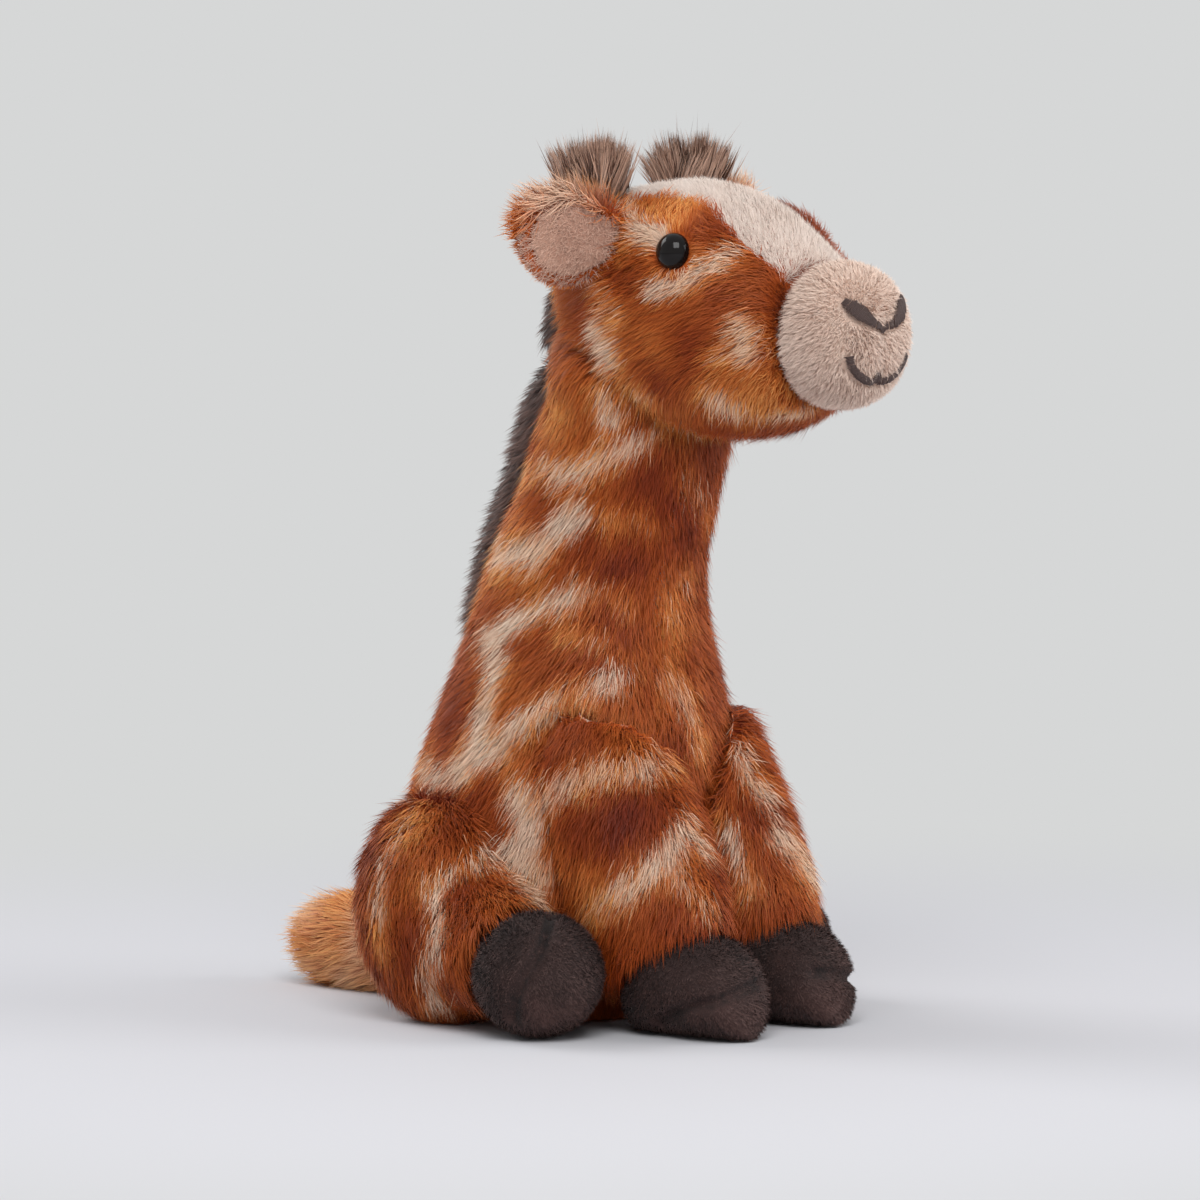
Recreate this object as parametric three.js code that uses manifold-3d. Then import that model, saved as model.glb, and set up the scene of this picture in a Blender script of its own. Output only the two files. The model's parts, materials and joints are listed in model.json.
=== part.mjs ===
// A seated plush giraffe, in millimetres. +Z is up, the giraffe faces -Y, its left side is +X.
// The origin is on the floor, under the front of the seat. The toy is mirror symmetric about X = 0.
// Every stuffed form is a loft or an ellipsoid. Where two forms meet at a seam that flexes, the smaller
// one is cut by the larger one in every position that the seam lets it take.
import * as THREE from "three";
import { mergeVertices } from "three/addons/utils/BufferGeometryUtils.js";
import Module from "manifold-3d";

const wasm = await Module();
wasm.setup();

// Fits
const seamGap = 0.3; // between two pieces that are sewn or set together
const flexGap = 0.5; // beside a seam that flexes
const floorCut = 0.5; // how far a stuffed form flattens where it rests
const overrun = 3; // how far a cutting shape runs past what it cuts
const floorSpan = 400; // width of the block that cuts the forms at the floor

// Fabric
const skinThickness = 4; // backing and root of the long pile
const coatPower = 2.1; // squareness of the sections of a stuffed form

// Torso with the neck
const torso = { height: 212, width: 104, depth: 114, seatSetback: 24, neckLean: 42 };
const neckTopShare = 0.45; // of the neck's lean, at the rounded top of the neck
const neckBall = { radius: 29.5 };
const neckOpening = 30; // width of the opening between the neck and the filling of the head
const closingSlit = { length: 34, width: 3, behindMiddle: 15 }; // in the seam under the seat
const pelletBag = { width: 62, depth: 68, height: 30, baseHeight: 8 };

// Head
const head = { length: 99, width: 71, height: 83, back: 6, middleRise: 22.5 };
const muzzle = { width: 53, height: 48.5, length: 24.5, middleDrop: 8.5 };
const nostril = { width: 10, height: 6, thickness: 1.6, offset: 13.2, rise: 8.2 };
const stitch = { radius: 0.9, mouthHalfWidth: 14, mouthDrop: 12.6, mouthCurl: 7 };

// Safety eyes
const eye = { radius: 6, dome: 5.2, shankRadius: 2.2, shankLength: 13 };
const eyePlaceShares = { length: 0.6414, rise: 0.2169 }; // of the head's length and height
const eyeTurn = { forward: 4, upward: 8 };
const washer = { radius: 6.5, thickness: 1.6, fit: 0.3 };

// Ears
const ear = { length: 31, height: 32, thickness: 7 };
const earSlant = 34; // degrees, backwards
const earPlaceShares = { length: 0.3939, rise: 0.259 }; // of the head's length and height
const earRootDepth = 4; // how deep the root of an ear stands in the side of the head
const lining = { margin: 3.5, thickness: 3.2 };

// Tufts and mane
const tuft = { width: 27, depth: 19, height: 27, rootDepth: 3 };
const tuftSlant = 12; // degrees, outwards
const tuftPlaceShares = { length: 0.2424, half: 0.324 }; // of the head's length and width
const mane = { width: 11, thickness: 13, lowerThickness: 6 };
const maneBottomShare = 0.552; // of the torso's height
const manePartingShare = 1.009; // of the torso's height
const maneTopShare = 0.102; // of the head's height, above its middle

// Front legs and hooves
const frontLeg = { top: 113, cuffHeight: 20, width: 43, depth: 60, spacing: 45 };
const frontLegPath = { shoulderSetback: -13, cuffSetback: -48 };
const frontHoof = { width: 38, length: 49, height: 36, beforeCuff: 11.5 };

// Hind legs and feet
const haunch = { width: 52, depth: 62, height: 77, setback: 26 };
const haunchPlaceShare = 0.4423; // of the torso's width, from the middle to the middle of a haunch
const shin = { width: 47 };
const hindFoot = { diameter: 44.6, height: 42.5, outward: 13, beforeHaunch: 49.5 };

// Tail
const tail = { length: 57, width: 31 };
const tailRootShare = 0.412; // of the torso's depth, behind the middle of the seat

// Seams that flex: the turn in degrees that each lets its child take about its hinge
const nodTurn = { down: 12, up: 10 };
const earFoldTurn = { forward: 20, back: 20 };
const legLiftTurn = { forward: 35 };
const legSplayTurn = { outward: 20 };
const tailWagTurn = { each: 25 };
const liftHingeShares = { advance: 0.43, height: 0.956 }; // of the front leg's path and top
const splayHingeShares = { width: 0.394, depth: 0.228 }; // of the torso's width and depth

// Fineness of the lofts
const limbAround = 16;
const trimAround = 12;
const limbSteps = 10;
const trimSteps = 8;
const outerFineness = { around: 24, torsoSteps: 16, headSteps: 11, ballAround: 16 };
const innerFineness = { around: 14, torsoSteps: 9, headSteps: 7, ballAround: 12 };

const left = 1;
const right = -1;
const up = new THREE.Vector3(0, 0, 1);
const sideways = new THREE.Vector3(1, 0, 0);
const ahead = new THREE.Vector3(0, -1, 0);

/** A point from its three coordinates. */
const point = (x, y, z) => new THREE.Vector3(x, y, z);

/** A manifold solid from a three.js geometry. */
function solid(geometry) {
  const bare = geometry.clone();
  bare.deleteAttribute("normal");
  bare.deleteAttribute("uv");
  const merged = mergeVertices(bare);
  const mesh = new wasm.Mesh({
    numProp: 3,
    vertProperties: new Float32Array(merged.attributes.position.array),
    triVerts: new Uint32Array(merged.index.array),
  });
  return new wasm.Manifold(mesh);
}

/** The value of cos or sin raised so that the section goes from an ellipse towards a box. */
const squared = (value, power) => Math.sign(value) * Math.abs(value) ** (2 / power);

/**
 * A closed loft through stations, each {at, wide, deep, power}: the middle, the two half sizes and the
 * squareness of a section. Sections stand across the given direction, or across the path itself.
 */
function loft(stations, { across = null, steps, around, inset = 0 }) {
  const path = new THREE.CatmullRomCurve3(stations.map((s) => s.at));
  const sizes = new THREE.CatmullRomCurve3(stations.map((s) => point(s.wide, s.deep, s.power)));
  const span = path.getPoint(0).distanceTo(path.getPoint(1));
  const vertices = [];
  const triangles = [];
  for (let i = 0; i <= steps; i++) {
    const share = i / steps;
    const end = inset * (1 - 2 * share);
    const atEnd = i === 0 || i === steps;
    const middle = path.getPoint(share);
    const normal = (across ?? path.getTangent(share)).clone().normalize();
    if (atEnd && span > Math.abs(inset)) middle.addScaledVector(normal, end);
    const side = sideways.clone().addScaledVector(normal, -normal.x).normalize();
    const rise = normal.clone().cross(side);
    const size = sizes.getPoint(share);
    const wide = Math.max(size.x - inset, size.x / around);
    const deep = Math.max(size.y - inset, size.y / around);
    for (let j = 0; j < around; j++) {
      const turn = (2 * Math.PI * j) / around;
      const u = wide * squared(Math.cos(turn), size.z);
      const v = deep * squared(Math.sin(turn), size.z);
      vertices.push(...middle.clone().addScaledVector(side, u).addScaledVector(rise, v).toArray());
      if (i === steps) continue;
      const a = i * around + j;
      const b = i * around + ((j + 1) % around);
      triangles.push(a, b, a + around, b, b + around, a + around);
    }
  }
  const last = steps * around;
  for (let j = 1; j < around - 1; j++) {
    triangles.push(0, j + 1, j);
    triangles.push(last, last + j, last + j + 1);
  }
  const mesh = new wasm.Mesh({
    numProp: 3,
    vertProperties: new Float32Array(vertices),
    triVerts: new Uint32Array(triangles),
  });
  return new wasm.Manifold(mesh);
}

/** An ellipsoid with its poles up and down. */
function ellipsoid(middle, wide, deep, high, around) {
  const unit = new THREE.SphereGeometry(1, around, around / 2);
  unit.rotateX(Math.PI / 2);
  unit.scale(wide, deep, high);
  unit.translate(middle.x, middle.y, middle.z);
  return solid(unit);
}

/** A block from its middle and its three sizes. */
function block(middle, sizeX, sizeY, sizeZ) {
  const box = new THREE.BoxGeometry(sizeX, sizeY, sizeZ);
  box.translate(middle.x, middle.y, middle.z);
  return solid(box);
}

/** The solid turned about an axis through a hinge point. */
function turned(shape, hinge, axis, degrees) {
  const turn = new THREE.Matrix4().makeRotationAxis(axis, THREE.MathUtils.degToRad(degrees));
  const there = new THREE.Matrix4().makeTranslation(hinge.x, hinge.y, hinge.z);
  const back = new THREE.Matrix4().makeTranslation(-hinge.x, -hinge.y, -hinge.z);
  return shape.transform(there.multiply(turn).multiply(back).elements);
}

/** The child cut by its parent in all the positions that the parent takes as seen from the child. */
function clearOf(child, parent, hinge, axis, turns) {
  return turns.reduce((rest, t) => rest.subtract(turned(parent, hinge, axis, -t)), child);
}

/** The part of a form above the floor, or above a level inside the form. */
function onFloor(shape, level = 0) {
  const middle = point(0, 0, level - floorSpan / 2);
  return shape.subtract(block(middle, floorSpan, floorSpan, floorSpan));
}

/** The largest body of a solid, without the slivers that a cut can leave. */
function mainBody(shape) {
  return shape.decompose().reduce((a, b) => (a.volume() > b.volume() ? a : b));
}

// Torso: shares of height, of lean and setback, of width and of depth, from the seat up the neck
const torsoShares = [
  { height: -0.0024, setback: 1, lean: 0, width: 0.3, depth: 0.31 },
  { height: 0.03, setback: 0.97, lean: 0, width: 0.43, depth: 0.43 },
  { height: 0.1, setback: 0.92, lean: 0, width: 0.48, depth: 0.475 },
  { height: 0.21, setback: 0.75, lean: 0, width: 0.49, depth: 0.485 },
  { height: 0.33, setback: 0.52, lean: 0, width: 0.465, depth: 0.47 },
  { height: 0.45, setback: 0.33, lean: 0, width: 0.415, depth: 0.435 },
  { height: 0.55, setback: 0.22, lean: 0, width: 0.355, depth: 0.39 },
  { height: 0.63, setback: 0.17, lean: 0, width: 0.305, depth: 0.35 },
  { height: 0.72, setback: 0.06, lean: 0.04, width: 0.275, depth: 0.325 },
  { height: 0.82, setback: 0, lean: 0.22, width: 0.25, depth: 0.305 },
  { height: 0.91, setback: 0, lean: 0.36, width: 0.245, depth: 0.295 },
  { height: 0.97, setback: 0, lean: 0.43, width: 0.24, depth: 0.275 },
  { height: 1.02, setback: 0, lean: 0.45, width: 0.2, depth: 0.22 },
];
const neckTop = point(0, -torso.neckLean * neckTopShare, torso.height);
const neckRoomShare = 0.7; // of the torso's height, where the room for the neck begins
const neckRoomMargin = 1.3; // more room before and behind the neck, where the nod lifts its edge
const nodReach = THREE.MathUtils.degToRad(Math.max(nodTurn.down, nodTurn.up));

const torsoStations = torsoShares.map((s) => ({
  at: point(0, torso.seatSetback * s.setback - torso.neckLean * s.lean, torso.height * s.height),
  wide: torso.width * s.width,
  deep: torso.depth * s.depth,
  power: coatPower,
}));

/** The rounded top of the neck, drawn in by an inset or grown by a negative one. */
function neckBallForm(inset, around) {
  const radius = neckBall.radius - inset;
  return ellipsoid(neckTop, radius, radius, radius, around);
}

/** The torso and the neck with its rounded top, drawn in by an inset or grown by a negative one. */
function torsoForm(inset, fineness = outerFineness) {
  const { torsoSteps, around, ballAround } = fineness;
  const body = loft(torsoStations, { across: up, steps: torsoSteps, around, inset });
  return onFloor(body.add(neckBallForm(inset, ballAround)), inset);
}

/** The room that the neck takes inside the head through its whole nod, grown by an allowance. */
function neckRoom(allowance) {
  const margin = allowance + neckRoomMargin;
  const stations = torsoStations.filter((s) => s.at.z > neckRoomShare * torso.height).map((s) => ({
    ...s,
    wide: s.wide + allowance,
    deep: s.deep + margin + Math.abs(neckTop.z - s.at.z) * Math.sin(nodReach),
  }));
  const room = loft(stations, { across: up, steps: trimSteps, around: outerFineness.around });
  const radius = neckBall.radius + allowance;
  const ball = ellipsoid(neckTop, radius, neckBall.radius + margin, radius, outerFineness.around);
  return room.add(ball);
}

const torsoClear = torsoForm(-flexGap);
const torsoSeam = torsoForm(-seamGap);

// Torso skin, filling and pellet bag
const slitMiddle = point(0, torso.seatSetback + closingSlit.behindMiddle, 0);
const slitHeight = 2 * (skinThickness + overrun);
const slit = block(slitMiddle, closingSlit.width, closingSlit.length, slitHeight);
const bagMiddle = point(0, torso.seatSetback, pelletBag.baseHeight + pelletBag.height / 2);

/** The flat round bag of pellets, drawn in by an inset. */
function bagForm(inset) {
  const half = (size) => size / 2 - inset;
  const bag = pelletBag;
  return ellipsoid(bagMiddle, half(bag.width), half(bag.depth), half(bag.height), limbAround);
}

const torsoSkin = torsoForm(0).subtract(torsoForm(skinThickness, innerFineness)).subtract(slit);
const channelTop = bagMiddle.z;
const channel = block(slitMiddle, closingSlit.width, closingSlit.length, 2 * channelTop);
const torsoFilling = torsoForm(skinThickness + seamGap, innerFineness)
  .subtract(bagForm(-seamGap))
  .subtract(channel);

// Head: shares of length, of rise from the middle, of width and of height, from the nape forwards
const headShares = [
  { length: 0, rise: 0.075, width: 0.13, height: 0.11 },
  { length: 0.06, rise: 0.07, width: 0.29, height: 0.25 },
  { length: 0.17, rise: 0.05, width: 0.41, height: 0.38 },
  { length: 0.34, rise: 0.025, width: 0.48, height: 0.46 },
  { length: 0.54, rise: 0.004, width: 0.5, height: 0.495 },
  { length: 0.73, rise: -0.04, width: 0.475, height: 0.455 },
  { length: 0.88, rise: -0.08, width: 0.425, height: 0.38 },
  { length: 1, rise: -0.098, width: 0.36, height: 0.295 },
];
const headPower = 2.5;
const headMiddle = neckTop.z + head.middleRise;

/** The head without its muzzle, drawn in by an inset or grown by a negative one. */
function headForm(inset, fineness = outerFineness) {
  const stations = headShares.map((s) => ({
    at: point(0, head.back - head.length * s.length, headMiddle + head.height * s.rise),
    wide: head.width * s.width,
    deep: head.height * s.height,
    power: headPower,
  }));
  return loft(stations, { across: ahead, steps: fineness.headSteps, around: fineness.around, inset });
}

/** Where a ray from outside first meets a solid. */
function surfacePoint(shape, from, towards) {
  const reach = from.distanceTo(towards);
  const ray = towards.clone().sub(from).normalize();
  const geometry = geometryOf(shape);
  const caster = new THREE.Raycaster(from, ray, 0, reach);
  const target = new THREE.Mesh(geometry, new THREE.MeshBasicMaterial({ side: THREE.DoubleSide }));
  return caster.intersectObject(target)[0].point;
}

/** A three.js geometry from a manifold solid. */
function geometryOf(shape) {
  const mesh = shape.getMesh();
  const geometry = new THREE.BufferGeometry();
  geometry.setAttribute("position", new THREE.BufferAttribute(mesh.vertProperties, mesh.numProp));
  geometry.setIndex(new THREE.BufferAttribute(mesh.triVerts, 1));
  return geometry;
}

/** A point on the side of the head, from its shares of the head's length and height. */
function onHeadSide(side, shares) {
  const y = head.back - head.length * shares.length;
  const z = headMiddle + head.height * shares.rise;
  return surfacePoint(headForm(0), point(side * head.width, y, z), point(0, y, z));
}

const nodTurns = [-nodTurn.up, -nodTurn.up / 2, 0, nodTurn.down / 2, nodTurn.down];
const headClear = headForm(-flexGap);
const headSeam = headForm(-seamGap);

/** The head with the seat of the neck cut out; the inset also draws in the wall of the seat. */
function seatedHead(inset, fineness) {
  return headForm(inset, fineness).subtract(neckRoom(flexGap + inset));
}

// Safety eyes: turned about their axis, with the shank through the skin and a washer behind it
/** The eye's profile, from the top of the dome to the end of the shank, grown by an allowance. */
function eyeProfile(allowance) {
  const points = [new THREE.Vector2(0, eye.dome + allowance)];
  const turns = 6;
  for (let i = turns - 1; i > 0; i--) {
    const angle = (Math.PI / 2) * (i / turns);
    const reach = (eye.radius + allowance) * Math.cos(angle);
    points.push(new THREE.Vector2(reach, (eye.dome + allowance) * Math.sin(angle)));
  }
  points.push(new THREE.Vector2(eye.radius + allowance, 0));
  points.push(new THREE.Vector2(eye.shankRadius + allowance, -allowance));
  points.push(new THREE.Vector2(eye.shankRadius + allowance, -eye.shankLength));
  points.push(new THREE.Vector2(0, -eye.shankLength - allowance));
  return points;
}

/** A ring's profile for the washer, grown by an allowance all round. */
function washerProfile(allowance) {
  const top = -skinThickness - seamGap + allowance;
  const bottom = top - washer.thickness - 2 * allowance;
  const bore = allowance > 0 ? 0 : eye.shankRadius + washer.fit;
  const rim = washer.radius + allowance;
  const corners = [[bore, top], [rim, top], [rim, bottom], [bore, bottom]];
  const closed = bore > 0 ? [...corners, corners[0]] : corners;
  return closed.map(([r, h]) => new THREE.Vector2(r, h));
}

/** A turned solid set at an eye's place, its axis pointing out of the head. */
function atEye(profile, side) {
  const lathe = new THREE.LatheGeometry([...profile].reverse(), limbAround);
  lathe.rotateX(Math.PI / 2);
  lathe.applyMatrix4(eyeSeat(side));
  return solid(lathe);
}

/** The place and turn of an eye on the surface of the head. */
function eyeSeat(side) {
  const out = point(side, 0, 0);
  out.applyAxisAngle(up, THREE.MathUtils.degToRad(-side * eyeTurn.forward));
  out.z = Math.tan(THREE.MathUtils.degToRad(eyeTurn.upward));
  out.normalize();
  const at = onHeadSide(side, eyePlaceShares).addScaledVector(out, seamGap);
  const turn = new THREE.Quaternion().setFromUnitVectors(up, out);
  return new THREE.Matrix4().compose(at, turn, point(1, 1, 1));
}

const eyes = {};
const eyeWashers = {};
let headSkin = seatedHead(0);
let headFilling = seatedHead(skinThickness + seamGap, innerFineness);
const headHollow = seatedHead(skinThickness, innerFineness);
const crown = neckTop.clone().addScaledVector(up, neckBall.radius);
const opening = block(crown, neckOpening, neckOpening, 2 * (skinThickness + overrun));
headSkin = headSkin.subtract(headHollow).subtract(opening);
for (const side of [left, right]) {
  eyes[side] = atEye(eyeProfile(0), side);
  eyeWashers[side] = atEye(washerProfile(0), side);
  headSkin = headSkin.subtract(atEye(eyeProfile(seamGap), side));
  headSkin = headSkin.subtract(atEye(washerProfile(seamGap), side));
  headFilling = headFilling.subtract(atEye(eyeProfile(seamGap), side));
  headFilling = headFilling.subtract(atEye(washerProfile(seamGap), side));
}

// Muzzle: a round cap whose flat back is sewn to the front of the head
const seamY = head.back - head.length;
const muzzleMiddle = headMiddle - muzzle.middleDrop;
const muzzleShares = [
  { length: 0, width: 0.46, height: 0.455 },
  { length: 0.22, width: 0.498, height: 0.495 },
  { length: 0.48, width: 0.49, height: 0.485 },
  { length: 0.72, width: 0.425, height: 0.42 },
  { length: 0.9, width: 0.3, height: 0.305 },
  { length: 1, width: 0.12, height: 0.13 },
];
const muzzleStations = muzzleShares.map((s) => ({
  at: point(0, seamY - seamGap - muzzle.length * s.length, muzzleMiddle),
  wide: muzzle.width * s.width,
  deep: muzzle.height * s.height,
  power: coatPower,
}));
const muzzleCap = loft(muzzleStations, { across: ahead, steps: limbSteps, around: limbAround });

/** A point on the front of the muzzle, lifted off it by a height. */
function onMuzzle(x, z, lift) {
  const from = point(x, seamY - 2 * muzzle.length, z);
  const at = surfacePoint(muzzleCap, from, point(x, seamY, z));
  const out = at.clone().sub(point(0, seamY, muzzleMiddle)).normalize();
  return at.addScaledVector(out, lift);
}

/** A tube of stitches along a curve. */
function thread(points, steps) {
  const sectionShape = new THREE.Shape();
  sectionShape.absarc(0, 0, stitch.radius, 0, 2 * Math.PI, false);
  const path = new THREE.CatmullRomCurve3(points);
  const options = { steps, extrudePath: path, curveSegments: 3, bevelEnabled: false };
  return solid(new THREE.ExtrudeGeometry(sectionShape, options));
}

/** The patch of satin stitch of one nostril, an oval that drops towards the middle of the nose. */
function nostrilPatch(side) {
  const at = onMuzzle(side * nostril.offset, muzzleMiddle + nostril.rise, 0);
  const out = at.clone().sub(point(0, seamY, muzzleMiddle)).normalize();
  const patch = ellipsoid(point(0, 0, 0), nostril.width / 2, nostril.height / 2, nostril.thickness,
    trimAround);
  const slant = new THREE.Quaternion().setFromAxisAngle(up, side * nostril.height / nostril.width);
  const facing = new THREE.Quaternion().setFromUnitVectors(up, out).multiply(slant);
  const place = new THREE.Matrix4().compose(at, facing, point(1, 1, 1));
  return patch.transform(place.elements);
}

const mouthShares = [-1, -0.82, -0.55, -0.25, 0, 0.25, 0.55, 0.82, 1];
const mouthPath = mouthShares.map((share) => {
  const curl = stitch.mouthCurl * Math.abs(share) ** 2.5;
  const z = muzzleMiddle - stitch.mouthDrop + curl;
  return onMuzzle(share * stitch.mouthHalfWidth, z, stitch.radius + seamGap);
});
const mouthStitch = thread(mouthPath, 16);
const muzzleClear = loft(muzzleStations, {
  across: ahead, steps: limbSteps, around: limbAround, inset: -seamGap,
});

// Ears: a leaf that stands out and back, with a lining let into its front
const earAngle = THREE.MathUtils.degToRad(earSlant);
const earShares = [
  { length: 0, height: 0.5, thickness: 1.1 },
  { length: 0.2, height: 0.72, thickness: 1.05 },
  { length: 0.5, height: 1, thickness: 1 },
  { length: 0.78, height: 0.9, thickness: 0.85 },
  { length: 0.94, height: 0.55, thickness: 0.6 },
  { length: 1, height: 0.24, thickness: 0.35 },
];

/** The root of an ear on the side of the head. */
function earHinge(side) {
  return onHeadSide(side, earPlaceShares).addScaledVector(sideways, -side * earRootDepth);
}

/** A leaf along an ear, drawn in by a margin, set forward of the ear's middle and grown by an allowance. */
function earLeaf(side, margin, forward, thickness, allowance) {
  const out = point(side * Math.cos(earAngle), Math.sin(earAngle), 0);
  const facing = point(side * Math.sin(earAngle), -Math.cos(earAngle), 0);
  const reach = ear.length + earRootDepth - 2 * margin;
  const root = earHinge(side).addScaledVector(facing, forward).addScaledVector(out, margin);
  const stations = earShares.map((s) => ({
    at: root.clone().addScaledVector(out, reach * s.length),
    wide: (thickness * s.thickness) / 2 + allowance,
    deep: (ear.height / 2 - margin) * s.height + allowance,
    power: 2,
  }));
  return crosswiseLoft(stations, out, facing);
}

/** A loft whose sections stand across a direction and whose width lies along another. */
function crosswiseLoft(stations, out, facing) {
  const flat = stations.map((s) => ({ ...s, at: point(0, 0, s.at.clone().sub(stations[0].at).dot(out)) }));
  const made = loft(flat, { across: up, steps: trimSteps, around: trimAround });
  const basis = new THREE.Matrix4().makeBasis(facing, out.clone().cross(facing), out);
  return made.transform(basis.setPosition(stations[0].at).elements);
}

/** The lining of an ear, let into its front. */
function liningForm(side, allowance) {
  const forward = ear.thickness / 2 - lining.thickness / 4;
  return earLeaf(side, lining.margin, forward, lining.thickness, allowance);
}

/** Cuts a piece of an ear clear of the head in all the positions of its fold. */
function foldedClear(shape, side) {
  const { back, forward } = earFoldTurn;
  const turns = [-back, -back / 2, 0, forward / 2, forward];
  return mainBody(clearOf(shape, headClear, earHinge(side), up, turns.map((t) => -side * t)));
}

/** One ear without its lining. */
function earPiece(side) {
  return foldedClear(earLeaf(side, 0, 0, ear.thickness, 0).subtract(liningForm(side, seamGap)), side);
}

/** The lining of one ear. */
const liningPiece = (side) => foldedClear(liningForm(side, 0), side);

// Tufts and mane
const tuftShares = [[0, 0.42], [0.25, 0.5], [0.6, 0.47], [0.85, 0.34], [1, 0.14]]; // of rise and of size

/** The room beside the head that an ear sweeps as it folds. */
function earRoom(side) {
  const root = earHinge(side);
  const reach = ear.length + ear.thickness;
  const high = ear.height + 2 * flexGap;
  const inner = ear.thickness / 2 + flexGap;
  return block(root.addScaledVector(sideways, side * (reach / 2 - inner)), reach, 2 * reach, high);
}

/** A bunch of coarse pile on the top of the head, leaning outwards. */
function tuftForm(side) {
  const x = side * head.width * tuftPlaceShares.half;
  const y = head.back - head.length * tuftPlaceShares.length;
  const at = surfacePoint(headForm(0), point(x, y, headMiddle + head.height), point(x, y, headMiddle));
  const lean = THREE.MathUtils.degToRad(side * tuftSlant);
  const tip = point(Math.sin(lean), 0, Math.cos(lean));
  const foot = at.addScaledVector(tip, -tuft.rootDepth);
  const stations = tuftShares.map(([rise, size]) => ({
    at: foot.clone().addScaledVector(tip, tuft.height * rise),
    wide: tuft.width * size,
    deep: tuft.depth * size,
    power: 2,
  }));
  return loft(stations, { across: tip, steps: trimSteps, around: trimAround })
    .subtract(headSeam)
    .subtract(earRoom(side));
}

/** The back of the torso and the head at a height, on the middle line. */
function backAt(height, shape) {
  const behind = point(0, torso.depth, height);
  return surfacePoint(shape, behind, point(0, -torso.depth / 4, height));
}

/** A strip of mane between two heights, standing off the back of a form. */
function maneStrip(from, to, shape, thickFrom, thickTo, rings) {
  const stations = Array.from({ length: rings }, (_, i) => {
    const share = i / (rings - 1);
    const middle = backAt(from + (to - from) * share, shape);
    const round = i === 0 || i === rings - 1 ? 0.7 : 1;
    return {
      at: middle,
      wide: (mane.width / 2) * round,
      deep: (thickFrom + (thickTo - thickFrom) * share) * round,
      power: 2.4,
    };
  });
  return loft(stations, { steps: 2 * rings, around: trimAround });
}

const nodSweep = (shape, parent) => clearOf(shape, parent, neckTop, sideways, nodTurns);
const topHeight = headMiddle + head.height * maneTopShare;
const bottomHeight = torso.height * maneBottomShare;
const partingHeight = torso.height * manePartingShare;
const abovePart = block(
  point(0, 0, partingHeight + head.height / 2), 2 * mane.width, floorSpan, head.height,
);
const maneNeck = mainBody(
  maneStrip(bottomHeight, partingHeight, torsoForm(0), mane.lowerThickness, mane.thickness, 8)
    .subtract(torsoSeam)
    .subtract(abovePart),
);
const belowPart = abovePart.translate([0, 0, flexGap - head.height]);
const maneRoom = turned(belowPart, neckTop, sideways, nodTurn.up);
const maneNape = mainBody(
  nodSweep(
    maneStrip(partingHeight, topHeight, headForm(0).add(torsoForm(0)), mane.thickness, mane.thickness, 4)
      .subtract(headSeam)
      .subtract(maneRoom),
    torsoClear,
  ),
);

// Front legs and hooves
const frontLegShares = [
  { drop: 0, advance: 0.05, spacing: 1.12, width: 0.2, depth: 0.17 },
  { drop: 0.08, advance: 0, spacing: 1.08, width: 0.36, depth: 0.31 },
  { drop: 0.22, advance: 0.04, spacing: 1.04, width: 0.46, depth: 0.42 },
  { drop: 0.57, advance: 0.42, spacing: 1, width: 0.5, depth: 0.5 },
  { drop: 0.83, advance: 0.8, spacing: 1, width: 0.47, depth: 0.46 },
  { drop: 1, advance: 1, spacing: 1, width: 0.39, depth: 0.36 },
];
const frontHoofShares = [
  { length: 0, width: 0.24, height: 0.27 },
  { length: 0.1, width: 0.4, height: 0.41 },
  { length: 0.33, width: 0.5, height: 0.5 },
  { length: 0.62, width: 0.49, height: 0.49 },
  { length: 0.84, width: 0.42, height: 0.42 },
  { length: 0.96, width: 0.28, height: 0.29 },
  { length: 1, width: 0.14, height: 0.18 },
];

/** One front hoof, level on the floor, grown by an allowance. */
function frontHoofForm(side, allowance) {
  const hoof = frontHoof;
  const stations = frontHoofShares.map((s) => ({
    at: point(
      (side * frontLeg.spacing) / 2,
      frontLegPath.cuffSetback - hoof.beforeCuff + hoof.length * (0.5 - s.length),
      hoof.height * s.height - floorCut,
    ),
    wide: hoof.width * s.width,
    deep: hoof.height * s.height,
    power: coatPower,
  }));
  return loft(stations, { across: ahead, steps: limbSteps, around: limbAround, inset: -allowance });
}

/** One front leg down to its cuff, before it is fitted to its neighbours, grown by an allowance. */
function frontLegForm(side, allowance) {
  const leg = frontLeg;
  const path = frontLegPath;
  const stations = frontLegShares.map((s) => ({
    at: point(
      (side * leg.spacing * s.spacing) / 2,
      path.shoulderSetback + (path.cuffSetback - path.shoulderSetback) * s.advance,
      leg.top + (leg.cuffHeight - leg.top) * s.drop,
    ),
    wide: leg.width * s.width + allowance,
    deep: leg.depth * s.depth + allowance,
    power: 2,
  }));
  return loft(stations, { steps: limbSteps, around: limbAround });
}

const liftTurns = [0, -legLiftTurn.forward / 2, -legLiftTurn.forward];
const liftSetback = THREE.MathUtils.lerp(
  frontLegPath.shoulderSetback, frontLegPath.cuffSetback, liftHingeShares.advance,
);
const liftHinge = point(0, liftSetback, frontLeg.top * liftHingeShares.height);

/** One front leg, seated on the chest and over its hoof. */
function frontLegPiece(side) {
  const seated = clearOf(frontLegForm(side, 0), torsoClear, liftHinge, sideways, liftTurns);
  return mainBody(onFloor(seated.subtract(frontHoofForm(side, seamGap)), flexGap));
}

// Hind legs and feet
const haunchMiddleHeight = haunch.height / 2 - floorCut;
const footMiddleHeight = hindFoot.height / 2 - floorCut;
const shinShares = [
  { along: 0.1, size: 0.5 },
  { along: 0.38, size: 0.48 },
  { along: 0.68, size: 0.42 },
  { along: 0.9, size: 0.3 },
];

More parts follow.
